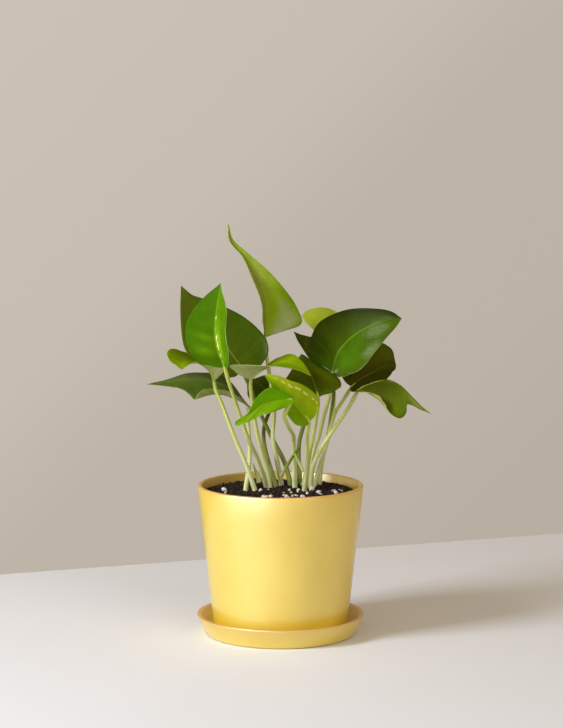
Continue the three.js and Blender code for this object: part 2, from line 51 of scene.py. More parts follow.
# Camera: a long lens in front of the plant and a little above its leaves, looking down by under
# seven degrees, so the pot's sides stay almost straight and its rim is a flat oval.
PHOTO_HEIGHT_PX = 728
LENS_PX = 2383
SENSOR_MM = 36
LOOK_DOWN = math.radians(6.81)
CAMERA_PLACE = (0.0007, -1.810, 0.4254)

camera_data = bpy.data.cameras.new("camera")
camera_data.sensor_width = SENSOR_MM
camera_data.lens = LENS_PX / PHOTO_HEIGHT_PX * SENSOR_MM
camera = bpy.data.objects.new("camera", camera_data)
camera.location = CAMERA_PLACE
camera.rotation_euler = (math.pi / 2 - LOOK_DOWN, 0, 0)
scene.collection.objects.link(camera)
scene.camera = camera


# Studio light: a cool soft key from the left, a large soft box at the front left, a warm fill at
# the front right, and a wide scrim on the left that only gloss mirrors, as a broad pale sheen.
# The far wall is a warm grey that darkens to the right; what it sends back is dim and warm.
def linear(colour):
    """An sRGB hex value as linear red, green, blue and alpha."""
    parts = [(colour >> shift & 255) / 255 for shift in (16, 8, 0)]
    return [part / 12.92 if part <= 0.04045 else ((part + 0.055) / 1.055) ** 2.4 for part in parts] + [1]


def add_node(tree, kind, links=None, values=None, stops=None, **settings):
    """One node with its settings, socket values, ramp stops and the sockets linked into it."""
    node = tree.nodes.new(kind)
    for name, value in settings.items():
        setattr(node, name, value)
    for socket, value in (values or {}).items():
        node.inputs[socket].default_value = value
    for socket, source in (links or {}).items():
        tree.links.new(source, node.inputs[socket])
    for number, (place, colour) in enumerate(stops or []):
        ramp = node.color_ramp.elements
        element = ramp[number] if number < len(ramp) else ramp.new(place)
        element.position = place
        element.color = colour
    return node


# Name, place, width in metres, watts and tint
LIGHTS = (
    ("key", (-1.3, -0.8, 1.02), 0.5, 27, (0.90, 0.95, 1.0)),
    ("front_box", (-0.9, -1.6, 0.6), 1.6, 5, (1.0, 0.98, 0.95)),
    ("fill", (1.1, -1.9, 1.1), 1.6, 12, (1.0, 0.97, 0.91)),
    ("scrim", (-1.3, -1.35, 0.45), 2.2, 100, (1.0, 0.98, 0.93)),
)
MIRRORED_ONLY = ("scrim",)
LIGHT_TARGET = Vector((0, 0, 0.14))
# How far to the right a line of sight leads where the wall's greys begin and end
WALL_FROM, WALL_TO = -0.12, 0.27

for light_name, place, size, watts, tint in LIGHTS:
    light_data = bpy.data.lights.new(light_name, "AREA")
    light_data.size = size
    light_data.energy = watts
    light_data.color = tint
    light = bpy.data.objects.new(light_name, light_data)
    light.location = place
    light.visible_diffuse = light_name not in MIRRORED_ONLY
    light.rotation_euler = (LIGHT_TARGET - Vector(place)).to_track_quat("-Z", "Y").to_euler()
    scene.collection.objects.link(light)

room = bpy.data.worlds.new("room")
room.use_nodes = True
room.node_tree.nodes.clear()
heading_out = add_node(room.node_tree, "ShaderNodeTexCoord")
rightward = add_node(
    room.node_tree, "ShaderNodeVectorMath", {0: heading_out.outputs["Generated"]}, {1: (1, 0, -1)},
    operation="DOT_PRODUCT",
)
across_wall = add_node(
    room.node_tree, "ShaderNodeMapRange", {"Value": rightward.outputs["Value"]},
    {"From Min": WALL_FROM, "From Max": WALL_TO},
)
wall_grey = add_node(
    room.node_tree, "ShaderNodeValToRGB", {"Fac": across_wall.outputs["Result"]},
    stops=(
        (0, linear(0xCBC1B5)), (0.35, linear(0xC7BDB1)), (0.53, linear(0xBEB4A8)),
        (0.79, linear(0xBDB3A7)), (1, linear(0xB8AEA2)),
    ),
)
ray = add_node(room.node_tree, "ShaderNodeLightPath")
seen = add_node(
    room.node_tree, "ShaderNodeMix",
    {"Factor": ray.outputs["Is Camera Ray"], "B": wall_grey.outputs["Color"]},
    {"A": linear(0xAC997D)}, data_type="RGBA",
)
glow = add_node(room.node_tree, "ShaderNodeBackground", {"Color": seen.outputs["Result"]})
add_node(room.node_tree, "ShaderNodeOutputWorld", {"Surface": glow.outputs["Background"]})
scene.world = room


# Table top: a pale painted board whose far edge climbs to the right, because the board stands
# turned to the camera. It carries the saucer and takes the soft shadow.
TABLE_TURN = math.radians(20.3)
TABLE_BEHIND = 0.289
TABLE_BEFORE = 2.6
TABLE_WIDTH = 3.6
TABLE_THICKNESS = 0.03
TABLE_EDGE_ROUND = 0.002


def new_finish(name):
    """A named material and its empty node tree."""
    material = bpy.data.materials.new(name)
    material.use_nodes = True
    material.node_tree.nodes.clear()
    return material, material.node_tree


def mottled(tree, scale, detail, stops):
    """A cloudy pattern fixed to the piece, with scale in turns to the metre, and its colours."""
    place = add_node(tree, "ShaderNodeTexCoord")
    mottle = add_node(
        tree, "ShaderNodeTexNoise", {"Vector": place.outputs["Object"]},
        {"Scale": scale, "Detail": detail},
    )
    colours = add_node(tree, "ShaderNodeValToRGB", {"Fac": mottle.outputs["Fac"]}, stops=stops)
    return mottle.outputs["Fac"], colours.outputs["Color"]


def surfaced(material, colour, sockets, relief=None, **bump_settings):
    """The material with its surface: a colour, the shader's values and, where it has one, a
    relief, which is a height, its strength and its depth in metres."""
    tree = material.node_tree
    links = {"Base Color": colour}
    if relief:
        height, strength, depth = relief
        bump = add_node(
            tree, "ShaderNodeBump", {"Height": height}, {"Strength": strength, "Distance": depth},
            **bump_settings,
        )
        links["Normal"] = bump.outputs["Normal"]
    shader = add_node(tree, "ShaderNodeBsdfPrincipled", links, sockets)
    add_node(tree, "ShaderNodeOutputMaterial", {"Surface": shader.outputs["BSDF"]})
    return material


def painted_board():
    """Eggshell paint: matte, with a faint cloudiness that keeps the board from looking empty."""
    material, tree = new_finish("eggshell_paint")
    # The cloudiness changes over about 200 mm.
    _, paint = mottled(tree, 5.0, 3.0, ((0.3, linear(0xE4E7F0)), (0.7, linear(0xE7EAF3))))
    return surfaced(material, paint, {"Roughness": 0.7, "Specular IOR Level": 0.2})


board = bmesh.new()
bmesh.ops.create_cube(board, size=1)
bmesh.ops.scale(board, vec=(TABLE_WIDTH, TABLE_BEHIND + TABLE_BEFORE, TABLE_THICKNESS), verts=board.verts)
bmesh.ops.translate(
    board, vec=(0, (TABLE_BEHIND - TABLE_BEFORE) / 2, -TABLE_THICKNESS / 2), verts=board.verts
)
bmesh.ops.rotate(board, cent=(0, 0, 0), matrix=Matrix.Rotation(TABLE_TURN, 3, "Z"), verts=board.verts)
bmesh.ops.bevel(
    board, geom=board.edges[:], offset=TABLE_EDGE_ROUND, segments=3, profile=0.5, affect="EDGES",
    material=-1,
)
table_mesh = bpy.data.meshes.new("table_top")
board.to_mesh(table_mesh)
board.free()
table_mesh.materials.append(painted_board())
table_top = bpy.data.objects.new("table_top", table_mesh)
scene.collection.objects.link(table_top)


# Saucer: glazed earthenware, jiggered to a shallow dish with a leaning wall and a soft lip. The
# warm yellow glaze pulls back from the sharp lip, where the tan body shows through it.
SAUCER_FOOT_RADIUS = 0.058
SAUCER_WALL = 0.0036
SAUCER_FLOOR = 0.0045
EDGE_INSET = 0.0004
LIP_FADE = 0.002
TURNS = 128
CORNER_STEPS = 6
LONG_EDGE = 0.02
LONG_EDGE_CUTS = 5
SAME_PLACE = 1e-6


def glazed_earthenware():
    """Opaque glaze: a broad soft mirror of the lamps, slow changes of depth, and orange peel."""
    material, tree = new_finish("yellow_glaze")
    # The glaze's depth changes over 30 to 40 mm.
    _, yellow = mottled(tree, 28.0, 3.0, ((0.35, linear(0xDDC02E)), (0.65, linear(0xE2C738))))
    thin = add_node(tree, "ShaderNodeAttribute", attribute_name="lip")
    lip = add_node(
        tree, "ShaderNodeMix", {"Factor": thin.outputs["Fac"], "A": yellow}, {"B": linear(0xD3A04E)},
        data_type="RGBA",
    )
    # Orange peel is about 1.5 mm across and only just shows.
    place = add_node(tree, "ShaderNodeTexCoord")
    peel = add_node(
        tree, "ShaderNodeTexNoise", {"Vector": place.outputs["Object"]}, {"Scale": 650.0, "Detail": 2.0}
    )
    return surfaced(
        material, lip.outputs["Result"],
        {
            "Roughness": 0.42, "IOR": 1.65, "Specular IOR Level": 1.0, "Coat Weight": 0.8,
            "Coat Roughness": 0.2,
        },
        (peel.outputs["Fac"], 0.05, 0.0003),
    )


def turned_shape(profile, rounds, lip_height, turns):
    """A profile of radius and height turned about the axis, its listed corners rounded first.

    rounds maps the number of a corner in the profile to its rounding. The lip layer is 1 at the
    lip's height and fades to 0 below it."""
    shape = bmesh.new()
    corners = [shape.verts.new((radius, 0, height)) for radius, height in profile]
    for pair in zip(corners, corners[1:]):
        shape.edges.new(pair)
    for number, offset in rounds.items():
        bmesh.ops.bevel(
            shape, geom=[corners[number]], offset=offset, segments=CORNER_STEPS, profile=0.5,
            affect="VERTICES", material=-1,
        )
    long_edges = [edge for edge in shape.edges if edge.calc_length() > LONG_EDGE]
    bmesh.ops.subdivide_edges(shape, edges=long_edges, cuts=LONG_EDGE_CUTS)
    bmesh.ops.spin(
        shape, geom=shape.verts[:] + shape.edges[:], cent=(0, 0, 0), axis=(0, 0, 1),
        steps=turns, angle=2 * math.pi, use_merge=True,
    )
    bmesh.ops.remove_doubles(shape, verts=shape.verts, dist=SAME_PLACE)
    bmesh.ops.recalc_face_normals(shape, faces=shape.faces)
    lip = shape.verts.layers.float.new("lip")
    for vert in shape.verts:
        vert[lip] = max(0.0, 1 - (lip_height - vert.co.z) / LIP_FADE)
    return shape


def put_piece(name, shape, finishes, slot, *nodes):
    """An object of a finished shape, which rides the part and stands for the named solids."""
    mesh = bpy.data.meshes.new(name)
    shape.to_mesh(mesh)
    shape.free()
    mesh.shade_smooth()
    for finish in finishes:
        mesh.materials.append(finish)
    piece = bpy.data.objects.new(name, mesh)
    scene.collection.objects.link(piece)
    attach(piece, "root")
    if nodes:
        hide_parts(*nodes)
    return piece


_, saucer_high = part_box("saucer")
saucer_rim = saucer_high.x
saucer_top = saucer_high.z
saucer_profile = (
    (0, 0),
    (SAUCER_FOOT_RADIUS - EDGE_INSET, 0),
    (saucer_rim, saucer_top - EDGE_INSET),
    (saucer_rim - EDGE_INSET, saucer_top),
    (saucer_rim - SAUCER_WALL, saucer_top),
    (SAUCER_FOOT_RADIUS - SAUCER_WALL, SAUCER_FLOOR),
    (0, SAUCER_FLOOR),
)
glaze = glazed_earthenware()
saucer_rounds = {1: 0.0022, 2: 0.0012, 4: 0.0014, 5: 0.0025}
saucer_shape = turned_shape(saucer_profile, saucer_rounds, saucer_top, TURNS)
put_piece("saucer_glazed", saucer_shape, [glaze], "glaze", "saucer")


# Pot: the same glazed earthenware, a straight wall that widens to the rim, with a full round lip
# and a small round at the foot. A drain hole goes through the floor, where the soil hides it.
POT_WALL = 0.0034
POT_FLOOR = 0.0052
DRAIN_RADIUS = 0.006
POT_TAPER = 0.109
LIP_FLAT = 0.0003

pot_low, pot_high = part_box("pot")
rim = pot_high.x
pot_top = pot_high.z
pot_bottom = pot_low.z


def pot_radius(height):
    """Radius of the outer wall at a height."""
    return rim - (pot_top - height) * POT_TAPER


inner_floor = pot_bottom + POT_FLOOR
pot_profile = (
    (DRAIN_RADIUS, pot_bottom),
    (pot_radius(pot_bottom), pot_bottom),
    (rim, pot_top - POT_WALL / 2),
    (rim - LIP_FLAT, pot_top),
    (rim - POT_WALL + LIP_FLAT, pot_top),
    (pot_radius(inner_floor) - POT_WALL, inner_floor),
    (DRAIN_RADIUS, inner_floor),
    (DRAIN_RADIUS, pot_bottom),
)
pot_shape = turned_shape(pot_profile, {1: 0.002, 3: 0.0012, 4: 0.0012, 5: 0.002}, pot_top, TURNS)
put_piece("pot_glazed", pot_shape, [glaze], "glaze", "pot")


# Soil: dark peat and bark potting mix, a low dome that meets the glaze just below the rim. Loose
# crumbs lie on it, and a few white perlite grains show round the stalks and at the front.
SOIL_LEVEL = 0.1094
SOIL_DOME = 0.0038
SOIL_RINGS = 44
SOIL_TURNS = 150
SOIL_GAP = 0.0003
SOIL_FOOT_INSET = 0.0023
SURFACE_DEPTH = 0.001
HUMP_HEIGHT = 0.0005
CRUMBLE_HEIGHT = 0.0007
CRUMBLE_SCALE = 260
GRAIN_MARGIN = 0.0025
GRAIN_LIFT = 0.35
GRAIN_LUMPS = 0.35
GRAIN_LUMP_SCALE = 900
CRUMBS = 2600
PERLITE = 50


def potting_mix():
    """Moist peat: almost black, very rough, with brown fibres between the dark crumbs."""
    material, tree = new_finish("potting_mix")
    # Crumbs and fibres are 1 to 3 mm across.
    grain, brown = mottled(
        tree, 420.0, 5.0,
        ((0.36, linear(0x0F0906)), (0.56, linear(0x2A1B12)), (0.72, linear(0x543A26))),
    )
    sockets = {"Roughness": 0.93, "Specular IOR Level": 0.2}
    return surfaced(material, brown, sockets, (grain, 0.7, 0.0008))


def perlite():
    """Expanded volcanic glass: chalk white, matte, a little greyed by the peat."""
    material, tree = new_finish("perlite")
    _, white = mottled(tree, 260.0, 4.0, ((0.38, linear(0xA39B92)), (0.54, linear(0xE4DED6))))
    return surfaced(material, white, {"Roughness": 0.85})


def soil_height(x, y):
    """Height of the soil at a place: the dome, slow humps and small crumbly relief."""
    inside = pot_radius(SOIL_LEVEL) - POT_WALL
    dome = SOIL_DOME * (1 - (x * x + y * y) / (inside * inside))
    # The humps lie 20 to 50 mm apart.
    humps = math.sin(x * 310 + 1) * math.cos(y * 270) + math.sin(x * 130 - y * 190)
    crumbly = noise.fractal(Vector((x, y, 0)) * CRUMBLE_SCALE, 0.8, 2.1, 4)
    return SOIL_LEVEL + dome + HUMP_HEIGHT * humps + CRUMBLE_HEIGHT * crumbly


soil_radius = pot_radius(SOIL_LEVEL) - POT_WALL - SOIL_GAP
soil_bottom = inner_floor + SOIL_GAP
ring_step = soil_radius / SOIL_RINGS
soil_foot = pot_radius(soil_bottom) - POT_WALL - SOIL_FOOT_INSET
soil_profile = [(0, soil_bottom), (soil_foot, soil_bottom)]
soil_profile += [(soil_radius - ring * ring_step, SOIL_LEVEL) for ring in range(SOIL_RINGS + 1)]
soil_shape = turned_shape(soil_profile, {}, 1, SOIL_TURNS)
for vert in soil_shape.verts:
    if vert.co.z > SOIL_LEVEL - SURFACE_DEPTH:
        vert.co.z = soil_height(vert.co.x, vert.co.y)
soil_shape.normal_update()
mix = potting_mix()
put_piece("soil_bed", soil_shape, [mix], "soil", "soil")


def grains(count, sizes, spots, spread, detail, squash, seed):
    """Small irregular lumps strewn round the given spots and half sunk in the soil."""
    draw = random.Random(seed)
    heap = bmesh.new()
    laid = 0
    while laid < count:
        middle_x, middle_y = draw.choice(spots)
        x = middle_x + draw.gauss(0, spread)
        y = middle_y + draw.gauss(0, spread)
        if math.hypot(x, y) > soil_radius - GRAIN_MARGIN:
            continue
        size = draw.uniform(*sizes)
        angle = draw.uniform(0, 2 * math.pi)
        turn = Matrix.Rotation(angle, 4, Vector((draw.random(), draw.random(), 1)))
        stretch = Matrix.Diagonal((size, size * draw.uniform(*squash), size * draw.uniform(*squash), 1))
        spot = Matrix.Translation((x, y, soil_height(x, y) + size * draw.uniform(0, GRAIN_LIFT)))
        lump = bmesh.ops.create_icosphere(
            heap, subdivisions=detail, radius=1, matrix=spot @ turn @ stretch
        )
        middle = spot.translation
        for vert in lump["verts"]:
            dent = noise.noise(vert.co * GRAIN_LUMP_SCALE)
            vert.co = middle + (vert.co - middle) * (1 + GRAIN_LUMPS * dent)
        laid += 1
    return heap


# Places in millimetres round which the perlite lies
PERLITE_SPOTS = (
    (-41, -8), (-12, -35), (-3, -40), (2, -26), (8, -16), (18, -46), (24, -44), (27, -8), (29, -12),
    (-24, -46), (44, -6), (5, -42), (12, -32), (-6, -22), (31, -20), (16, -20), (24, -30), (-14, -18),
)
perlite_spots = [(x / 1000, y / 1000) for x, y in PERLITE_SPOTS]
crumb_heap = grains(CRUMBS, (0.0005, 0.0014), [(0, 0)], 0.034, 1, (0.5, 1.1), 11)
put_piece("soil_crumbs", crumb_heap, [mix], "soil")
perlite_heap = grains(PERLITE, (0.0009, 0.0024), perlite_spots, 0.0035, 2, (0.55, 1.0), 5)
put_piece("perlite_grains", perlite_heap, [perlite()], "soil")


# Leaf blades: living heart-shaped leaves, each a thin waxy sheet that hangs from its midrib and is
# grown onto its stalk in the notch between the two lobes. The upper side is half gloss with
# sunken veins, the under side pale and matte. The leaf table and the heights are in millimetres.
MM = 0.001
BLADE_THICKNESS = 0.00045
ROWS = 64
COLUMNS = 14
FAN_SHARE = 0.3
FAN_EASE = 1.5
WAVE_HEIGHT = 0.9
WAVES_PER_SIDE = 3
QUILT_HEIGHT = 0.1
VEINS_PER_SIDE = 10
RIB_SAMPLES = 160
HEADING_REACH = 0.01
ON_RIB = 0.01
BLADE_WELD = 0.00003


def leaf(
    name, rib, face, width, halves, stalk, slot, greens, below, marks=(), shine="soft",
    stalk_slot="stalk_light",
):
    """The facts of one leaf.

    A half is an outline of share along the rib and share of the half width, its rise from rib to
    margin in degrees at even steps, and how far it rolls back. greens are, for each half, the
    colour by the rib and at the margin; below is the under side's at the joint and at the tip. A
    mark is cream, dust and sheen or a colour, the half, its share along the outline and out to the
    margin, its reach in both, and its strength. Dust and sheen is pale grains: dried water on the
    top leaf, and a painted sheen and painted glints on the glossy leaf. On some leaves the greens
    and colour marks hold painted shade, painted highlight or painted sheen."""
    return {
        "name": name, "rib": rib, "face": face, "width": width, "halves": halves, "stalk": stalk,
        "slot": slot, "greens": greens, "below": below, "marks": marks, "shine": shine,
        "stalk_slot": stalk_slot,
    }


LEAVES = (
    leaf(
        "top",
        ((-12, 31, 226.8), (-11.1, 30, 241.2), (-11.3, 29, 253), (-15, 29, 265.8), (-21.5, 30, 278),
         (-29.9, 31, 291), (-38.4, 31, 301.5), (-40.5, 30, 315.1)),
        (0.45, -0.85, 0.2), 60,
        (
            (((0, 0), (0.02, 0.12), (0.08, 0.34), (0.18, 0.56), (0.26, 0.52), (0.35, 0.49), (0.46, 0.39),
              (0.58, 0.22), (0.71, 0.08), (0.87, 0.08), (1, 0)), (50, 45, 30), 0),
            (((0, 0), (0.01, 0.14), (0.05, 0.45), (0.08, 0.81), (0.11, 0.94), (0.15, 0.95), (0.22, 0.84),
              (0.31, 0.62), (0.43, 0.42), (0.58, 0.26), (0.72, 0.13), (0.87, 0.06), (1, 0)),
             (14, 20, 20), 0),
        ),
        ((1, 8, 112), (-3, 9, 134), (-6, 11, 151), (-5, 19, 171), (-8, 26, 194), (-11, 30, 213)),
        "leaf_mid", ((0x8A9A3A, 0x97A452), (0x96B21C, 0x88AA0C)), (0x9CAA50, 0x9CAA50),
        marks=(("dust_and_sheen", 1, 0.3, 0.4, 0.16, 0.3, 1.25), ("dust_and_sheen", 1, 0.42, 0.6, 0.14, 0.3, 1.1),
               ("dust_and_sheen", 1, 0.2, 0.75, 0.12, 0.3, 1.1), (0x9BAA4A, 1, 0.75, 0.4, 0.12, 0.6, 0.7),
               (0x5E7A04, 1, 0.55, 0.9, 0.12, 0.3, 0.5), (0x5E6C10, 1, 0.22, 1, 0.1, 0.15, 0.6),
               ("cream", 1, 0.3, 0.45, 0.12, 0.2, 0.3)),
    ),
    leaf(
        "back_right",
        ((54, 56, 229), (35, 60, 236), (16.9, 64, 240.2)),
        (0, -0.7, 0.7), 40,
        (
            (((0, 0), (-0.04, 0.14), (0.02, 0.42), (0.1, 0.7), (0.24, 0.88), (0.48, 0.83), (0.67, 0.62),
              (0.86, 0.35), (1, 0)), (10, 5), 0),
            (((0, 0), (-0.04, 0.14), (0.02, 0.36), (0.12, 0.48), (0.28, 0.54), (0.47, 0.62),
              (0.65, 0.56), (0.82, 0.44), (0.95, 0.26), (1, 0)), (10, 5), 0),
        ),
        ((22, 16, 112), (25, 14, 137), (30, 17, 152), (34, 24, 167), (44, 44, 198)),
        "leaf_pale", ((0xA2B42C, 0xA4B433), (0xA2B42C, 0xA4B433)), (0xA6B048, 0xA6B048),
    ),
    leaf(
        "glossy_right",
        ((39.8, -2, 203.9), (41.7, -8, 212.7), (45, -14, 221.6), (55.7, -25, 234.2), (73.3, -35, 244.6),
         (90.5, -38, 248.1)),
        (-0.48, -0.8, 0.36), 68,
        (
            (((0, 0), (-0.05, 0.14), (-0.07, 0.39), (-0.1, 0.67), (-0.09, 0.9), (0.03, 0.91),
              (0.19, 0.84), (0.3, 0.81), (0.47, 0.66), (0.63, 0.5), (0.78, 0.33), (0.92, 0.18), (1, 0)),
             (16, 12), 0),
            (((0, 0), (0.02, 0.18), (0.09, 0.42), (0.19, 0.69), (0.36, 0.86), (0.48, 0.94), (0.59, 0.88),
              (0.68, 0.78), (0.78, 0.62), (0.86, 0.43), (0.94, 0.22), (1, 0)), (16, 12), 0),
        ),
        ((26, 9, 112), (31, 8, 131), (37, 5, 153), (40, 3, 172), (41, 2, 185), (40, 0, 196)),
        # Painted light and shade: the upper half darkens to a painted shade at its margin. The colour
        # marks paint a lighter green by the rib, a darker shade in the upper half and a lighter lower
        # middle. The pale marks paint a sheen at the tip and glints by the notch.
        "leaf_deep", ((0x425A04, 0x1E2400), (0x406006, 0x465C0C)), (0x8C9A55, 0x8C9A55),
        marks=((0x3A7004, -1, 0.3, 0.35, 0.12, 0.35, 0.6), (0x2E3A02, -1, 0.45, 0.7, 0.2, 0.4, 0.6),
               ("dust_and_sheen", 1, 0.84, 0.45, 0.12, 0.5, 0.42), ("dust_and_sheen", 1, 0.68, 0.85, 0.12, 0.25, 0.45),
               ("dust_and_sheen", -1, 0.93, 0.4, 0.06, 0.4, 0.3), ("dust_and_sheen", -1, 0.2, 0.3, 0.1, 0.2, 1.3),
               ("dust_and_sheen", 1, 0.3, 0.22, 0.08, 0.12, 1.3), (0x4E8006, 1, 0.5, 0.4, 0.16, 0.4, 0.5)),
        shine="bright",
    ),
    leaf(
        "dark_left",
        ((-31, 14, 206), (-42, 18, 221), (-60, 24, 245), (-77, 28, 267)),
        (0.05, -0.95, 0.25), 62,
        (
            (((0, 0), (-0.06, 0.2), (-0.03, 0.41), (0.04, 0.54), (0.12, 0.63), (0.24, 0.75),
              (0.37, 0.87), (0.45, 0.89), (0.55, 0.8), (0.67, 0.63), (0.8, 0.41), (0.9, 0.21), (1, 0)),
             (5, 5), 0),
            (((0, 0), (-0.1, 0.12), (-0.12, 0.32), (-0.09, 0.59), (-0.04, 0.79), (0.06, 0.9),
              (0.19, 0.9), (0.34, 0.82), (0.46, 0.7), (0.58, 0.53), (0.68, 0.37), (0.77, 0.23),
              (0.86, 0.08), (0.94, 0.03), (1, 0)), (5, 5), 0),
        ),
        ((8, 7, 112), (3, 14, 131), (-5, 18, 146), (-13, 17, 163), (-19, 16, 178), (-26, 14, 195)),
        "leaf_deep", ((0x47560A, 0x45520A), (0x46560A, 0x3E5406)), (0x66761C, 0x4A5A10),
        # The grey-green mark at the right half's margin is a painted sheen.
        marks=((0x76845A, 1, 0.3, 0.95, 0.06, 0.1, 0.5), (0x53600E, -1, 0.85, 0.5, 0.15, 0.5, 0.6)),
        stalk_slot="stalk_dark",
    ),
    leaf(
        "bright_left",
        ((-42.4, -38, 212.4), (-46.7, -42, 224.8), (-48.7, -44, 238.5), (-47.3, -45, 256.6),
         (-44.5, -43, 274.9)),
        (-0.5, -0.86, 0.05), 48,
        (
            (((0, 0), (-0.01, 0.12), (0.04, 0.4), (0.09, 0.68), (0.16, 0.81), (0.26, 0.89), (0.39, 0.97),
              (0.49, 0.93), (0.64, 0.75), (0.82, 0.44), (1, 0)), (22, 18), 0),
            (((0, 0), (-0.02, 0.11), (0.06, 0.34), (0.24, 0.56), (0.37, 0.56), (0.49, 0.48), (0.6, 0.51),
              (0.7, 0.5), (0.79, 0.34), (0.9, 0.12), (1, 0)), (22, 18), 0),
        ),
        ((-11, 5, 112), (-17, -2, 134), (-25, -11, 154), (-32, -21, 176), (-39, -33, 200)),
        "leaf_fresh", ((0x4A7200, 0x426B00), (0x5E8A04, 0x4E7C02)), (0xA5B56A, 0xA5B56A),
        marks=(("cream", 1, 0.4, 0.05, 0.05, 0.07, 0.62), ("cream", 1, 0.48, 0.05, 0.05, 0.07, 0.66),
               ("cream", 1, 0.56, 0.07, 0.05, 0.09, 0.75), ("cream", 1, 0.64, 0.08, 0.05, 0.08, 0.8),
               ("cream", 1, 0.72, 0.05, 0.04, 0.06, 0.68), ("cream", 1, 0.8, 0.04, 0.04, 0.06, 0.74),
               ("cream", 1, 0.88, 0.03, 0.04, 0.05, 0.66), (0x9CC428, 1, 0.55, 0.2, 0.14, 0.14, 0.7),
               (0x7CAC12, -1, 0.52, 0.45, 0.04, 0.3, 0.4), (0x7CAC12, -1, 0.64, 0.4, 0.03, 0.3, 0.35)),
    ),
    leaf(
        "level_left",
        ((-50.6, -6, 197.1), (-52.5, -9, 202.9), (-56, -14, 208.1), (-61.5, -20, 212.2),
         (-68.1, -27, 214.6), (-72.7, -32, 212.9), (-74.5, -35, 209.3)),
        (-0.25, -0.12, 1), 50,
        (
            (((0, 0), (0.05, 0.15), (0.12, 0.36), (0.16, 0.56), (0.23, 0.42), (0.33, 0.26), (0.5, 0.2),
              (0.72, 0.28), (0.87, 0.25), (0.95, 0.1), (1, 0)), (45, 25, 0, -5, -15), 0),
            (((0, 0), (-0.02, 0.18), (0.06, 0.4), (0.2, 0.52), (0.36, 0.5), (0.5, 0.52), (0.64, 0.64),
              (0.79, 0.7), (0.88, 0.64), (0.92, 0.46), (0.95, 0.22), (1, 0)), (75, 50, 35, 35), 0),
        ),
        ((-19, -15, 111), (-26, -16, 133), (-36, -15, 157), (-44, -11, 178), (-49, -7, 189)),
        "leaf_olive", ((0x7E960A, 0x6E8806), (0x7E960A, 0x6A8404)), (0xBCC68A, 0x9CAA48),
    ),
    leaf(
        "middle",
        ((-22.7, -24, 200.3), (-20, -28, 204.1), (-14.9, -32, 208), (-7.5, -36, 212.1), (1.4, -40, 215),
         (12.6, -45, 213.3), (22.9, -49, 206.1)),
        (0, -0.1, 1), 48,
        (
            (((0, 0), (-0.02, 0.16), (0.05, 0.36), (0.14, 0.5), (0.21, 0.52), (0.27, 0.6), (0.33, 0.84),
              (0.45, 0.86), (0.6, 0.6), (0.74, 0.34), (0.87, 0.19), (1, 0)), (0, 10, 15, 10), 0),
            (((0, 0), (0.02, 0.16), (0.05, 0.42), (0.085, 0.69), (0.11, 0.93), (0.17, 0.86),
              (0.27, 0.69), (0.41, 0.57), (0.54, 0.47), (0.71, 0.31), (0.86, 0.16), (1, 0)),
             (45, 30, -5, -10, -10), 0),
        ),
        ((-8, -6, 112), (-10, -8, 127), (-15, -15, 146), (-19, -21, 165), (-22, -24, 187)),
        "leaf_fresh", ((0x86A404, 0x7C9A04), (0x7A9A04, 0x6C8C02)), (0xBCC68A, 0x7E8E24),
        marks=((0xA2BC30, -1, 0.5, 0.8, 0.14, 0.3, 0.6), ("cream", -1, 0.62, 0.85, 0.05, 0.1, 0.42),
               ("cream", 1, 0.8, 0.5, 0.05, 0.1, 0.4)),
    ),
    leaf(
        "olive_middle",
        ((28.3, -31, 188), (25.9, -21, 196.1), (22, -7, 204.7), (15.8, 5, 216.4)),
        (0, -0.6, 0.8), 48,
        (
            (((0, 0), (-0.02, 0.2), (-0.03, 0.46), (0.03, 0.76), (0.18, 0.98), (0.4, 0.98), (0.62, 0.72),
              (0.8, 0.4), (0.93, 0.15), (1, 0)), (36, 15, 8), 0.2),
            (((0, 0), (-0.03, 0.22), (-0.05, 0.45), (-0.05, 0.7), (-0.02, 0.88), (0.17, 0.88),
              (0.37, 0.7), (0.55, 0.46), (0.75, 0.25), (0.93, 0.1), (1, 0)), (36, 15, 8), 0.2),
        ),
        ((17, 9, 112), (19, 8, 120), (22, 1, 139), (26, -11, 161), (28, -24, 178)),
        "leaf_olive", ((0x485708, 0x5C6614), (0x465604, 0x384702)), (0x9AA452, 0x8E9A48),
        marks=((0x7A8C14, 1, 0.6, 0.6, 0.2, 0.3, 0.5),),
    ),
    leaf(
        "dark_right",
        ((55, 16, 190), (61.9, 21, 194.8), (72.5, 27, 200), (82, 31, 203.6), (90, 33, 203.9)),
        (0.05, -0.6, 0.8), 54,
        (
            (((0, 0), (-0.04, 0.16), (-0.02, 0.38), (0.1, 0.6), (0.3, 0.7), (0.5, 0.76), (0.73, 0.8),
              (0.84, 0.81), (0.91, 0.65), (1, 0.44), (1, 0.22), (1, 0)), (26, 18), 0),
            (((0, 0), (-0.09, 0.08), (-0.1, 0.26), (0.02, 0.46), (0.3, 0.57), (0.56, 0.59), (0.91, 0.27),
              (1, 0)), (18, 10), 0),
        ),
        ((30, 18, 111), (32, 18, 130), (37, 16, 152), (42, 15, 169), (48, 15, 179)),
        "leaf_deep", ((0x46480A, 0x3E4406), (0x444A08, 0x3D4406)), (0x7C8440, 0x7C8440),
        marks=((0x58442A, 1, 0.5, 0.3, 0.06, 0.3, 0.5), (0x4C4418, -1, 0.5, 0.3, 0.08, 0.4, 0.5),
               (0x4A4E18, -1, 0.85, 0.8, 0.1, 0.3, 0.5)),
    ),
    leaf(
        "drooping_right",
        ((59, -12, 191), (69, -16, 197), (81, -22, 200), (92, -27, 195), (101, -29, 185),
         (113, -28, 175)),
        (0.1, -0.1, 1), 41,
        (
            (((0, 0), (-0.04, 0.1), (-0.02, 0.25), (0.06, 0.4), (0.25, 0.5), (0.5, 0.42), (0.75, 0.24),
              (0.9, 0.1), (1, 0)), (-25, -25, -20), 0),
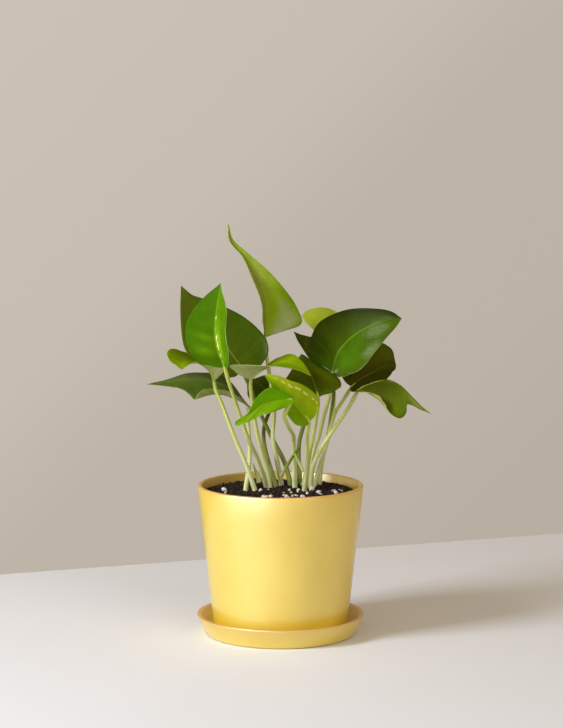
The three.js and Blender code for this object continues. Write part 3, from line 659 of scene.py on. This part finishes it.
            (((0, 0), (-0.02, 0.2), (0.08, 0.46), (0.2, 0.6), (0.33, 0.78), (0.52, 0.93), (0.69, 0.97),
              (0.77, 0.86), (0.8, 0.74), (0.79, 0.54), (0.75, 0.3), (0.8, 0.16), (0.89, 0.11), (1, 0)),
             (-10, -35, -62, -72, -72), 0),
        ),
        ((23, -2, 112), (25, -6, 131), (31, -8, 145), (39, -10, 158), (51, -12, 176)),
        "leaf_olive", ((0x6E8208, 0x66780A), (0x5C6C04, 0x4C6202)), (0xA4B05C, 0x8A9A50),
        marks=((0x8C9824, 1, 0.15, 0.5, 0.12, 0.5, 0.6), (0x6E5E10, 1, 0.45, 0.5, 0.12, 0.3, 0.5),
               (0x84903A, 1, 0.92, 0.4, 0.1, 0.6, 0.8)),
    ),
    leaf(
        "low_left",
        ((-25, 20, 174), (-36, 17, 186), (-48, 13, 193), (-70, 6, 196.5), (-102, -4, 194)),
        (0, -0.1, 1), 50,
        (
            (((0, 0), (0.03, 0.18), (0.16, 0.5), (0.29, 0.66), (0.38, 0.58), (0.46, 0.54), (0.53, 0.64),
              (0.6, 0.82), (0.64, 0.96), (0.66, 0.7), (0.7, 0.53), (0.75, 0.44), (0.79, 0.36),
              (0.89, 0.19), (1, 0)), (-10, -5, -28, -5), 0),
            (((0, 0), (-0.05, 0.2), (-0.04, 0.55), (0.07, 0.88), (0.22, 1.05), (0.35, 0.95), (0.46, 0.8),
              (0.57, 0.56), (0.69, 0.34), (0.8, 0.22), (0.9, 0.12), (1, 0)), (6, 8, 5), 0),
        ),
        ((-27, -8, 111), (-24, 0, 133), (-24, 8, 149), (-25, 15, 162)),
        "leaf_mid", ((0x5C7226, 0x506624), (0x566C22, 0x4C6024)), (0x9AA45C, 0x868E52),
        marks=((0x6A7A44, 1, 0.75, 0.5, 0.2, 0.5, 0.6),),
    ),
    leaf(
        "back_middle",
        ((-7, 42, 174), (-15, 48, 186), (-27, 58, 190)),
        (0.1, -0.6, 0.8), 36,
        (
            (((0, 0), (-0.1, 0.16), (-0.15, 0.45), (-0.05, 0.8), (0.2, 1), (0.46, 0.88), (0.7, 0.54),
              (0.88, 0.17), (1, 0)), (10, 5), 0),
            (((0, 0), (-0.1, 0.16), (-0.15, 0.45), (-0.05, 0.8), (0.2, 1), (0.46, 0.88), (0.7, 0.54),
              (0.88, 0.17), (1, 0)), (10, 5), 0),
        ),
        ((-3, 1, 112), (-8, 2, 129), (-12, 10, 143), (-13, 29, 155), (-9, 43, 166)),
        "leaf_deep", ((0x3A4A08, 0x3A4A0A), (0x3A4A08, 0x3A4A0A)), (0x66761C, 0x66761C),
        stalk_slot="stalk_dark",
    ),
    leaf(
        "small_front",
        ((8.4, -68, 191.2), (-3.5, -70, 190.4), (-14.6, -73, 187.2), (-21.9, -75, 180.6),
         (-27.2, -76, 177), (-33.6, -76, 173.4)),
        (-0.1, -0.97, 0.2), 32,
        (
            (((0, 0), (-0.03, 0.14), (0.08, 0.34), (0.23, 0.47), (0.42, 0.52), (0.6, 0.4), (0.74, 0.22),
              (0.87, 0.17), (0.96, 0.12), (1, 0)), (14, 10), 0),
            (((0, 0), (-0.03, 0.13), (0.1, 0.34), (0.2, 0.54), (0.28, 0.64), (0.36, 0.61), (0.45, 0.5),
              (0.55, 0.34), (0.66, 0.2), (0.76, 0.14), (0.87, 0.15), (0.96, 0.12), (1, 0)), (14, 10), 0),
        ),
        ((11, -5, 112), (10, -7, 139), (10, -16, 153), (9, -38, 161), (6, -58, 169), (3, -67, 178),
         (5, -67, 184)),
        "leaf_fresh", ((0x6C9C04, 0x669604), (0x5C8E02, 0x548802)), (0x9CB060, 0x9CB060),
        marks=((0x7EA414, -1, 0.8, 0.5, 0.25, 0.8, 0.7), (0x7EA414, 1, 0.85, 0.5, 0.12, 0.8, 0.5)),
    ),
    leaf(
        "speckled_front",
        ((21.3, -50, 172.6), (11.8, -56, 183.7), (3.1, -60, 193.8), (-5.2, -61, 202.9),
         (-12.1, -61, 208.6)),
        (0.25, -0.9, 0.35), 46,
        (
            (((0, 0), (-0.03, 0.12), (0.01, 0.26), (0.08, 0.36), (0.17, 0.42), (0.31, 0.41), (0.43, 0.3),
              (0.61, 0.23), (0.76, 0.17), (0.9, 0.08), (1, 0)), (-6, -4), 0.2),
            (((0, 0), (-0.03, 0.1), (-0.05, 0.26), (-0.06, 0.48), (-0.03, 0.75), (0.03, 0.97),
              (0.2, 0.94), (0.43, 0.77), (0.63, 0.53), (0.77, 0.38), (0.9, 0.19), (1, 0)),
             (-6, -4), 0.35),
        ),
        ((18, -11, 112), (20, -18, 129), (20, -32, 148), (20, -44, 162)),
        "leaf_fresh", ((0x6E9408, 0x709608), (0x80A80E, 0xAEC81A)), (0xA5B56A, 0xA5B56A),
        marks=((0xA2C016, 1, 0.45, 0.8, 0.25, 0.25, 0.8), ("cream", 1, 0.26, 0.82, 0.05, 0.1, 0.66),
               ("cream", 1, 0.34, 0.8, 0.05, 0.1, 0.7), ("cream", 1, 0.42, 0.78, 0.05, 0.1, 0.7),
               ("cream", 1, 0.5, 0.75, 0.05, 0.09, 0.72), ("cream", 1, 0.58, 0.73, 0.05, 0.08, 0.74),
               ("cream", 1, 0.66, 0.72, 0.05, 0.09, 0.72), ("cream", 1, 0.74, 0.7, 0.05, 0.09, 0.7),
               ("cream", 1, 0.82, 0.69, 0.05, 0.1, 0.68), ("cream", 1, 0.9, 0.66, 0.05, 0.1, 0.6)),
    ),
    leaf(
        "pointed_back",
        ((34.2, 38, 208.7), (22.6, 40, 216.7), (10.3, 41, 229.9)),
        (-0.2, -0.8, 0.5), 42,
        (
            (((0, 0), (-0.1, 0.16), (-0.13, 0.4), (-0.02, 0.52), (0.2, 0.4), (0.42, 0.25), (0.61, 0.18),
              (0.79, 0.12), (1, 0)), (10, 5), 0),
            (((0, 0), (-0.08, 0.16), (-0.08, 0.4), (0.06, 0.54), (0.26, 0.5), (0.55, 0.38), (0.73, 0.23),
              (0.87, 0.09), (1, 0)), (10, 5), 0),
        ),
        ((15, 18, 112), (14, 21, 140), (17, 26, 155), (26, 33, 180), (32.5, 36, 198.5)),
        "leaf_deep", ((0x3E4A06, 0x3A4604), (0x424E08, 0x3A4604)), (0x66761C, 0x66761C),
        stalk_slot="stalk_dark",
    ),
)


def spline_at(points, share):
    """Place on the smooth curve through the points, with as much of share for each span."""
    place = min(share * (len(points) - 1), len(points) - 1 - 1e-9)
    span = int(place)
    w = place - span
    start, end = points[span], points[span + 1]
    before = points[span - 1] if span else start * 2 - end
    after = points[span + 2] if span + 2 < len(points) else end * 2 - start
    leave = (end - before) / 2
    arrive = (after - start) / 2
    return (
        start * (2 * w**3 - 3 * w**2 + 1) + leave * (w**3 - 2 * w**2 + w)
        + end * (3 * w**2 - 2 * w**3) + arrive * (w**3 - w**2)
    )


def walk(points):
    """Place and heading on the curve by the share of its length walked, and that length."""
    knots = [spline_at(points, k / RIB_SAMPLES) for k in range(RIB_SAMPLES + 1)]
    walked = list(accumulate(((b - a).length for a, b in zip(knots, knots[1:])), initial=0.0))

    def place(share):
        goal = share * walked[-1]
        k = min(bisect_right(walked, goal), RIB_SAMPLES) - 1
        return knots[k].lerp(knots[k + 1], (goal - walked[k]) / (walked[k + 1] - walked[k]))

    def heading(share):
        return (place(min(share + HEADING_REACH, 1)) - place(max(share - HEADING_REACH, 0))).normalized()

    return place, heading, walked[-1]


def blend(values, share):
    """Value at a share of the way through evenly spaced ones."""
    place = share * (len(values) - 1)
    low = min(int(place), len(values) - 2)
    return values[low] + (values[low + 1] - values[low]) * (place - low)


def blade_surface(facts):
    """The middle surface of a blade as a function of side, share along the outline and share
    from the rib out to the margin, and the upward direction at a share of the rib."""
    rib_at, heading_at, rib_length = walk([Vector(point) for point in facts["rib"]])
    chord = (rib_at(1) - rib_at(0)).normalized()
    across = chord.cross(Vector(facts["face"])).normalized()
    outlines = [[Vector((along, out, 0)) for along, out in half[0]] for half in facts["halves"]]
    half_width = facts["width"] / 2

    def upward(share):
        return across.cross(heading_at(share)).normalized()

    def point(side, s, t):
        number = 0 if side < 0 else 1
        _, fold, roll = facts["halves"][number]
        edge = spline_at(outlines[number], s)
        start = max(0.0, (s - FAN_SHARE) / (1 - FAN_SHARE)) ** FAN_EASE
        out = max(edge.y, 0) * half_width
        on_rib = min(max(edge.x, 0), 1)
        heading = heading_at(on_rib)
        up = upward(on_rib)
        angle = math.radians(blend(fold, on_rib))
        ripple = math.sin(2 * math.pi * WAVES_PER_SIDE * s + side) * math.sin(math.pi * s)
        bow = WAVE_HEIGHT * ripple - roll * out * out / half_width
        margin = (
            rib_at(on_rib) + heading * (min(edge.x, 0) * rib_length)
            + heading.cross(up) * (side * out * math.cos(angle)) + up * (out * math.sin(angle) + bow)
        )
        quilting = QUILT_HEIGHT * math.sin(2 * math.pi * VEINS_PER_SIDE * s) * min(1, 3 * s)
        return (rib_at(start).lerp(margin, t) + up * ((4 * quilting - bow) * t * (1 - t))) * MM

    return point, upward, rib_at


def blade_shape(facts):
    """A grid laid over both halves and bent to the blade, with its own map, its two colours and
    its layers of cream and of pale dust and sheen, the sheen being painted. On some leaves the
    upper colour holds painted shade and painted highlight."""
    point = blade_surface(facts)[0]
    shape = bmesh.new()
    shape.loops.layers.uv.new("blade")
    bmesh.ops.create_grid(shape, x_segments=2 * COLUMNS, y_segments=ROWS, size=1, calc_uvs=True)
    upper_green = shape.verts.layers.float_color.new("upper_green")
    under_green = shape.verts.layers.float_color.new("under_green")
    flecks = {kind: shape.verts.layers.float.new(kind) for kind in ("cream", "dust_and_sheen")}
    for vert in shape.verts:
        side = -1 if vert.co.x < 0 else 1
        t = abs(vert.co.x)
        s = min(max((vert.co.y + 1) / 2, 0), 1)
        by_rib, at_margin = facts["greens"][0 if side < 0 else 1]
        green = Vector(linear(by_rib)).lerp(Vector(linear(at_margin)), t)
        # Each mark blends in its colour or its pale grains. On the glossy and the dark left leaf some
        # marks are painted shade, painted highlight or painted sheen.
        for kind, mark_side, mark_s, mark_t, reach_s, reach_t, strength in facts["marks"]:
            if mark_side == side or t < ON_RIB:
                off_s, off_t = (s - mark_s) / reach_s, (t - mark_t) / reach_t
                near = strength * math.exp(-(off_s**2) - off_t**2)
                if kind in flecks:
                    vert[flecks[kind]] = max(vert[flecks[kind]], near)
                else:
                    green = green.lerp(Vector(linear(kind)), near)
        joint_below, tip_below = facts["below"]
        vert[upper_green] = green
        vert[under_green] = Vector(linear(joint_below)).lerp(Vector(linear(tip_below)), s)
        vert.co = point(side, s, t)
    bmesh.ops.remove_doubles(shape, verts=shape.verts, dist=BLADE_WELD)
    shape.normal_update()
    return shape


def vein_lines(tree, reach):
    """Lines along the side veins, 1 in the middle of each and 0 between them. They leave the rib
    along the blade's own rows, wander by a millimetre and fade where the blade narrows."""
    skin_map = add_node(tree, "ShaderNodeUVMap", uv_map="blade")
    parts = add_node(tree, "ShaderNodeSeparateXYZ", {0: skin_map.outputs["UV"]})
    place = add_node(tree, "ShaderNodeTexCoord")
    wander = add_node(
        tree, "ShaderNodeTexNoise", {"Vector": place.outputs["Object"]}, {"Scale": 90.0, "Detail": 2.0}
    )
    bent = add_node(
        tree, "ShaderNodeMath", {0: wander.outputs["Fac"], 2: parts.outputs["Y"]}, {1: 0.03},
        operation="MULTIPLY_ADD",
    )
    turns = add_node(
        tree, "ShaderNodeMath", {0: bent.outputs[0]}, {1: float(VEINS_PER_SIDE)}, operation="MULTIPLY"
    )
    near = add_node(tree, "ShaderNodeMath", {0: turns.outputs[0]}, {1: 0.5}, operation="PINGPONG")
    line = add_node(
        tree, "ShaderNodeMapRange", {"Value": near.outputs[0]},
        {"From Min": 0.0, "From Max": reach, "To Min": 1.0, "To Max": 0.0},
        interpolation_type="SMOOTHSTEP",
    )
    fade = add_node(
        tree, "ShaderNodeMapRange", {"Value": parts.outputs["Y"]},
        {"From Min": 0.4, "From Max": 0.65, "To Min": 1.0, "To Max": 0.0},
    )
    faded = add_node(
        tree, "ShaderNodeMath", {0: line.outputs["Result"], 1: fade.outputs["Result"]},
        operation="MULTIPLY",
    )
    return faded.outputs[0]


def veined_flesh(tree, layer, scale, detail, shadow, reach, strength, pale):
    """The lines of the veins, and the layer's green clouded down to shadow, with pale veins."""
    green = add_node(tree, "ShaderNodeAttribute", attribute_name=layer)
    _, shade = mottled(tree, scale, detail, ((0.3, (shadow, shadow, shadow, 1)), (0.7, (1, 1, 1, 1))))
    clouded = add_node(
        tree, "ShaderNodeMix", {"A": green.outputs["Color"], "B": shade}, {"Factor": 1.0},
        data_type="RGBA", blend_type="MULTIPLY",
    )
    vein = vein_lines(tree, reach)
    faint = add_node(tree, "ShaderNodeMath", {0: vein}, {1: strength}, operation="MULTIPLY")
    veined = add_node(
        tree, "ShaderNodeMix", {"Factor": faint.outputs[0], "A": clouded.outputs["Result"]},
        {"B": linear(pale)}, data_type="RGBA",
    )
    return vein, veined.outputs["Result"]


def upper_skin(name, roughness, specular):
    """Waxy cuticle over green flesh: sunken veins, the marbling in cream flecks drawn out along
    them, and pale grains and streaks that are dried water from spray on some leaves and a painted
    sheen and painted glints on the glossy one."""
    material, tree = new_finish(name)
    # The flesh is clouded over about 8 mm.
    vein, veined = veined_flesh(tree, "upper_green", 120.0, 5.0, 0.8, 0.16, 0.03, 0xA9BC3C)
    # The midrib shows through as a pale line, about a millimetre wide.
    skin_map = add_node(tree, "ShaderNodeUVMap", uv_map="blade")
    across = add_node(tree, "ShaderNodeSeparateXYZ", {0: skin_map.outputs["UV"]})
    from_rib = add_node(tree, "ShaderNodeMath", {0: across.outputs["X"]}, {1: 0.5}, operation="SUBTRACT")
    beside_rib = add_node(tree, "ShaderNodeMath", {0: from_rib.outputs[0]}, operation="ABSOLUTE")
    on_rib = add_node(
        tree, "ShaderNodeMapRange", {"Value": beside_rib.outputs[0]},
        {"From Min": 0.004, "From Max": 0.02, "To Min": 0.22, "To Max": 0.0},
    )
    ribbed = add_node(
        tree, "ShaderNodeMix", {"Factor": on_rib.outputs["Result"], "A": veined},
        {"B": linear(0xA9BC3C)}, data_type="RGBA",
    )
    # Cream flecks are 1 to 2 mm wide and several times as long, along the veins.
    stretched = add_node(
        tree, "ShaderNodeMapping", {"Vector": skin_map.outputs["UV"]}, {"Scale": (14.0, 46.0, 1.0)}
    )
    fleck = add_node(
        tree, "ShaderNodeTexNoise", {"Vector": stretched.outputs["Vector"]}, {"Scale": 1.0, "Detail": 4.0}
    )
    cream_here = add_node(tree, "ShaderNodeAttribute", attribute_name="cream")
    cream_sum = add_node(
        tree, "ShaderNodeMath", {0: fleck.outputs["Fac"], 1: cream_here.outputs["Fac"]}, operation="ADD"
    )
    marbling = add_node(
        tree, "ShaderNodeMapRange", {"Value": cream_sum.outputs[0]}, {"From Min": 0.94, "From Max": 1.1}
    )
    marbled = add_node(
        tree, "ShaderNodeMix", {"Factor": marbling.outputs["Result"], "A": ribbed.outputs["Result"]},
        {"B": linear(0xE3E68E)}, data_type="RGBA",
    )
    # Pale grains of about 1 mm and dull streaks along the veins: dried water on some leaves, and a
    # painted sheen and painted glints on the glossy one.
    place = add_node(tree, "ShaderNodeTexCoord")
    speck = add_node(
        tree, "ShaderNodeTexNoise", {"Vector": place.outputs["Object"]}, {"Scale": 700.0, "Detail": 3.0}
    )
    grain = add_node(
        tree, "ShaderNodeMix", {"A": speck.outputs["Fac"], "B": fleck.outputs["Fac"]}, {"Factor": 0.45}
    )
    dust_and_sheen_here = add_node(tree, "ShaderNodeAttribute", attribute_name="dust_and_sheen")
    dust_and_sheen_sum = add_node(
        tree, "ShaderNodeMath", {0: grain.outputs[0], 1: dust_and_sheen_here.outputs["Fac"]}, operation="MULTIPLY"
    )
    dust_and_sheen = add_node(
        tree, "ShaderNodeMapRange", {"Value": dust_and_sheen_sum.outputs[0]},
        {"From Min": 0.1, "From Max": 0.75, "To Max": 0.8},
    )
    finished = add_node(
        tree, "ShaderNodeMix", {"Factor": dust_and_sheen.outputs["Result"], "A": marbled.outputs["Result"]},
        {"B": linear(0xBCC4A0)}, data_type="RGBA",
    )
    # Between the side veins the skin is grained over about 1.5 mm.
    grooves = add_node(tree, "ShaderNodeMath", {0: vein}, {1: 0.25}, operation="MULTIPLY")
    ground = add_node(
        tree, "ShaderNodeMath", {0: speck.outputs["Fac"], 2: grooves.outputs[0]}, {1: 0.12},
        operation="MULTIPLY_ADD",
    )
    return surfaced(
        material, finished.outputs["Result"],
        {"Roughness": roughness, "IOR": 1.45, "Specular IOR Level": specular},
        (ground.outputs[0], 0.3, 0.0004), invert=True,
    )


def under_skin():
    """The leaf's lower side: paler and matte, with the same veins standing proud."""
    material, tree = new_finish("leaf_under_skin")
    # Pale cells and dull patches lie 5 to 9 mm apart.
    vein, veined = veined_flesh(tree, "under_green", 140.0, 4.0, 0.84, 0.14, 0.06, 0xCDD6A0)
    sockets = {"Roughness": 0.6, "Specular IOR Level": 0.1}
    return surfaced(material, veined, sockets, (vein, 0.3, 0.0003))


upper_skins = {
    "soft": upper_skin("leaf_upper_skin", 0.46, 0.02),
    "bright": upper_skin("leaf_upper_skin_glossy", 0.36, 0.04),
}
under = under_skin()

for facts in LEAVES:
    blade = put_piece(
        "blade_" + facts["name"], blade_shape(facts), [upper_skins[facts["shine"]], under],
        facts["slot"], "leaf_" + facts["name"],
    )
    body = blade.modifiers.new("thickness", "SOLIDIFY")
    body.thickness = BLADE_THICKNESS
    body.offset = 0
    body.material_offset = 1
    body.material_offset_rim = 1


# Leaf stalks: juicy round petioles, grown from the buried stem, stout and pale at the foot. Each
# has a shallow groove on the side that faces the middle of the plant and a slight knee below its
# blade, and runs on under the blade as the raised midrib. The sizes are in millimetres.
ROOT_DEPTH = 11
FOOT_RADIUS = 2.3
TOP_RADIUS = 1.35
RIB_END_RADIUS = 0.2
RIB_RUN = 0.6
RIB_STEPS = 4
RIB_BELOW = 0.55
RIB_SET_IN = 0.45
RIB_TAPER = 2.2
KNEE_SWELL, KNEE_PLACE, KNEE_REACH = 0.16, 0.93, 0.035
GROOVE_DEPTH, GROOVE_REACH = 0.2, 0.55
STALK_AROUND = 20
STALK_STEPS = 90
# In metres: where the middle of the clump is, and how near the tube's seam is welded
CLUMP_Y = 0.012
STALK_WELD = 0.00001


def stalk_shape(points, radius_at):
    """A grid rolled round the path into a tube, its ends closed. radius_at gives the radius in
    metres for a share of the path."""
    place_at, heading_at, _ = walk([Vector(point) * MM for point in points])
    shape = bmesh.new()
    shape.loops.layers.uv.new("stalk")
    bmesh.ops.create_grid(
        shape, x_segments=STALK_AROUND, y_segments=STALK_STEPS, size=1, calc_uvs=True
    )
    for vert in shape.verts:
        share = min(max((vert.co.y + 1) / 2, 0), 1)
        angle = math.pi * vert.co.x
        middle = place_at(share)
        heading = heading_at(share)
        inward = Vector((-middle.x, CLUMP_Y - middle.y, 0))
        inward = (inward - heading * inward.dot(heading)).normalized()
        beside = heading.cross(inward)
        groove = GROOVE_DEPTH * math.exp(-((angle / GROOVE_REACH) ** 2)) * min(1, 4 * share)
        radius = radius_at(share) * (1 - groove)
        vert.co = middle + (inward * math.cos(angle) + beside * math.sin(angle)) * radius
    bmesh.ops.remove_doubles(shape, verts=shape.verts, dist=STALK_WELD)
    bmesh.ops.holes_fill(shape, edges=[edge for edge in shape.edges if edge.is_boundary])
    bmesh.ops.recalc_face_normals(shape, faces=shape.faces)
    return shape


def stalk_skin(name, foot, middle, knee, streaks):
    """Smooth green skin over juicy flesh: half gloss, finely ribbed along its length, with long
    olive streaks and a paler foot."""
    material, tree = new_finish(name)
    skin_map = add_node(tree, "ShaderNodeUVMap", uv_map="stalk")
    parts = add_node(tree, "ShaderNodeSeparateXYZ", {0: skin_map.outputs["UV"]})
    green = add_node(
        tree, "ShaderNodeValToRGB", {"Fac": parts.outputs["Y"]},
        stops=((0.12, linear(foot)), (0.4, linear(middle)), (0.75, linear(knee))),
    )
    # Streaks run for 20 mm or more and are under 1 mm wide.
    stretched = add_node(
        tree, "ShaderNodeMapping", {"Vector": skin_map.outputs["UV"]}, {"Scale": (9.0, 2.5, 1.0)}
    )
    streak = add_node(
        tree, "ShaderNodeTexNoise", {"Vector": stretched.outputs["Vector"]}, {"Scale": 1.0, "Detail": 5.0}
    )
    shown = add_node(
        tree, "ShaderNodeMapRange", {"Value": streak.outputs["Fac"]},
        {"From Min": 0.5, "From Max": 0.68, "To Max": 0.5},
    )
    streaked = add_node(
        tree, "ShaderNodeMix", {"Factor": shown.outputs["Result"], "A": green.outputs["Color"]},
        {"B": linear(streaks)}, data_type="RGBA",
    )
    # Fine ribs run along it, 13 in all.
    around = add_node(tree, "ShaderNodeMath", {0: parts.outputs["X"]}, {1: 13.0}, operation="MULTIPLY")
    ridge = add_node(tree, "ShaderNodeMath", {0: around.outputs[0]}, {1: 0.5}, operation="PINGPONG")
    return surfaced(
        material, streaked.outputs["Result"],
        {"Roughness": 0.45, "IOR": 1.4, "Specular IOR Level": 0.15}, (ridge.outputs[0], 0.3, 0.0003),
    )


stalk_skins = {
    "stalk_light": stalk_skin("stalk_skin_light", 0xD5DCA6, 0xC2CB7E, 0xAEB958, 0x8C9440),
    "stalk_dark": stalk_skin("stalk_skin_dark", 0x9EA862, 0x76832E, 0x5F6C20, 0x3F4A12),
}

for facts in LEAVES:
    _, upward, rib_at = blade_surface(facts)
    foot_x, foot_y, foot_z = facts["stalk"][0]
    path = [(foot_x, foot_y, foot_z - ROOT_DEPTH), *facts["stalk"]]
    length_to_joint = walk([Vector(point) for point in path + [facts["rib"][0]]])[2]
    for step in range(RIB_STEPS + 1):
        share = RIB_RUN * step / RIB_STEPS
        path.append(rib_at(share) - upward(share) * RIB_BELOW)
    joint_share = length_to_joint / walk([Vector(point) for point in path])[2]

    def radius_at(share, joint_share=joint_share):
        """Radius of the stalk up to its joint, then of the midrib, in metres."""
        if share < joint_share:
            part = share / joint_share
            knee = 1 + KNEE_SWELL * math.exp(-(((part - KNEE_PLACE) / KNEE_REACH) ** 2))
            return (FOOT_RADIUS + (TOP_RADIUS - FOOT_RADIUS) * math.sqrt(part)) * knee * MM
        part = (share - joint_share) / (1 - joint_share)
        thinning = (1 - part) ** RIB_TAPER
        return (RIB_END_RADIUS + (TOP_RADIUS - RIB_SET_IN - RIB_END_RADIUS) * thinning) * MM

    petiole = stalk_shape(path, radius_at)
    stalk_slot = facts["stalk_slot"]
    put_piece(
        "petiole_" + facts["name"], petiole, [stalk_skins[stalk_slot]], stalk_slot,
        "stalk_" + facts["name"],
    )


# Stubs and sheaths: the stumps of two old leaves, torn off short, and the dry pointed sheaths
# that wrapped young ones. They lie against the stalks they grew beside. Each is its path, the
# radius at its foot and end in millimetres, and its skin.
STUBS = (
    ("stub_dark", ((0.3, -14, 124.8), (7.2, -17, 136.9), (13.8, -20, 147.6)), 1.3, 1.0, "stalk_dark"),
    ("stub_light", ((17.1, -17, 129.2), (14, -18, 136.3), (10.7, -19, 143)), 1.0, 1.2, "stalk_light"),
    (
        "sheath_upper", ((37, 6, 153.5), (38.4, 4, 165.4), (39.8, 2, 177.3), (40.9, 0, 188)), 2.2, 1.2,
        "stalk_dark",
    ),
    (
        "sheath_lower", ((-16.5, -10, 119.5), (-18.8, -11, 127.4), (-21.1, -12, 134.5)), 2.0, 0.3,
        "stalk_light",
    ),
)

for name, path, foot_radius, end_radius, skin in STUBS:

    def taper(share, foot_radius=foot_radius, end_radius=end_radius):
        """Radius from the foot to the end, in metres."""
        return (foot_radius + (end_radius - foot_radius) * share) * MM

    put_piece(name, stalk_shape(path, taper), [stalk_skins[skin]], skin)
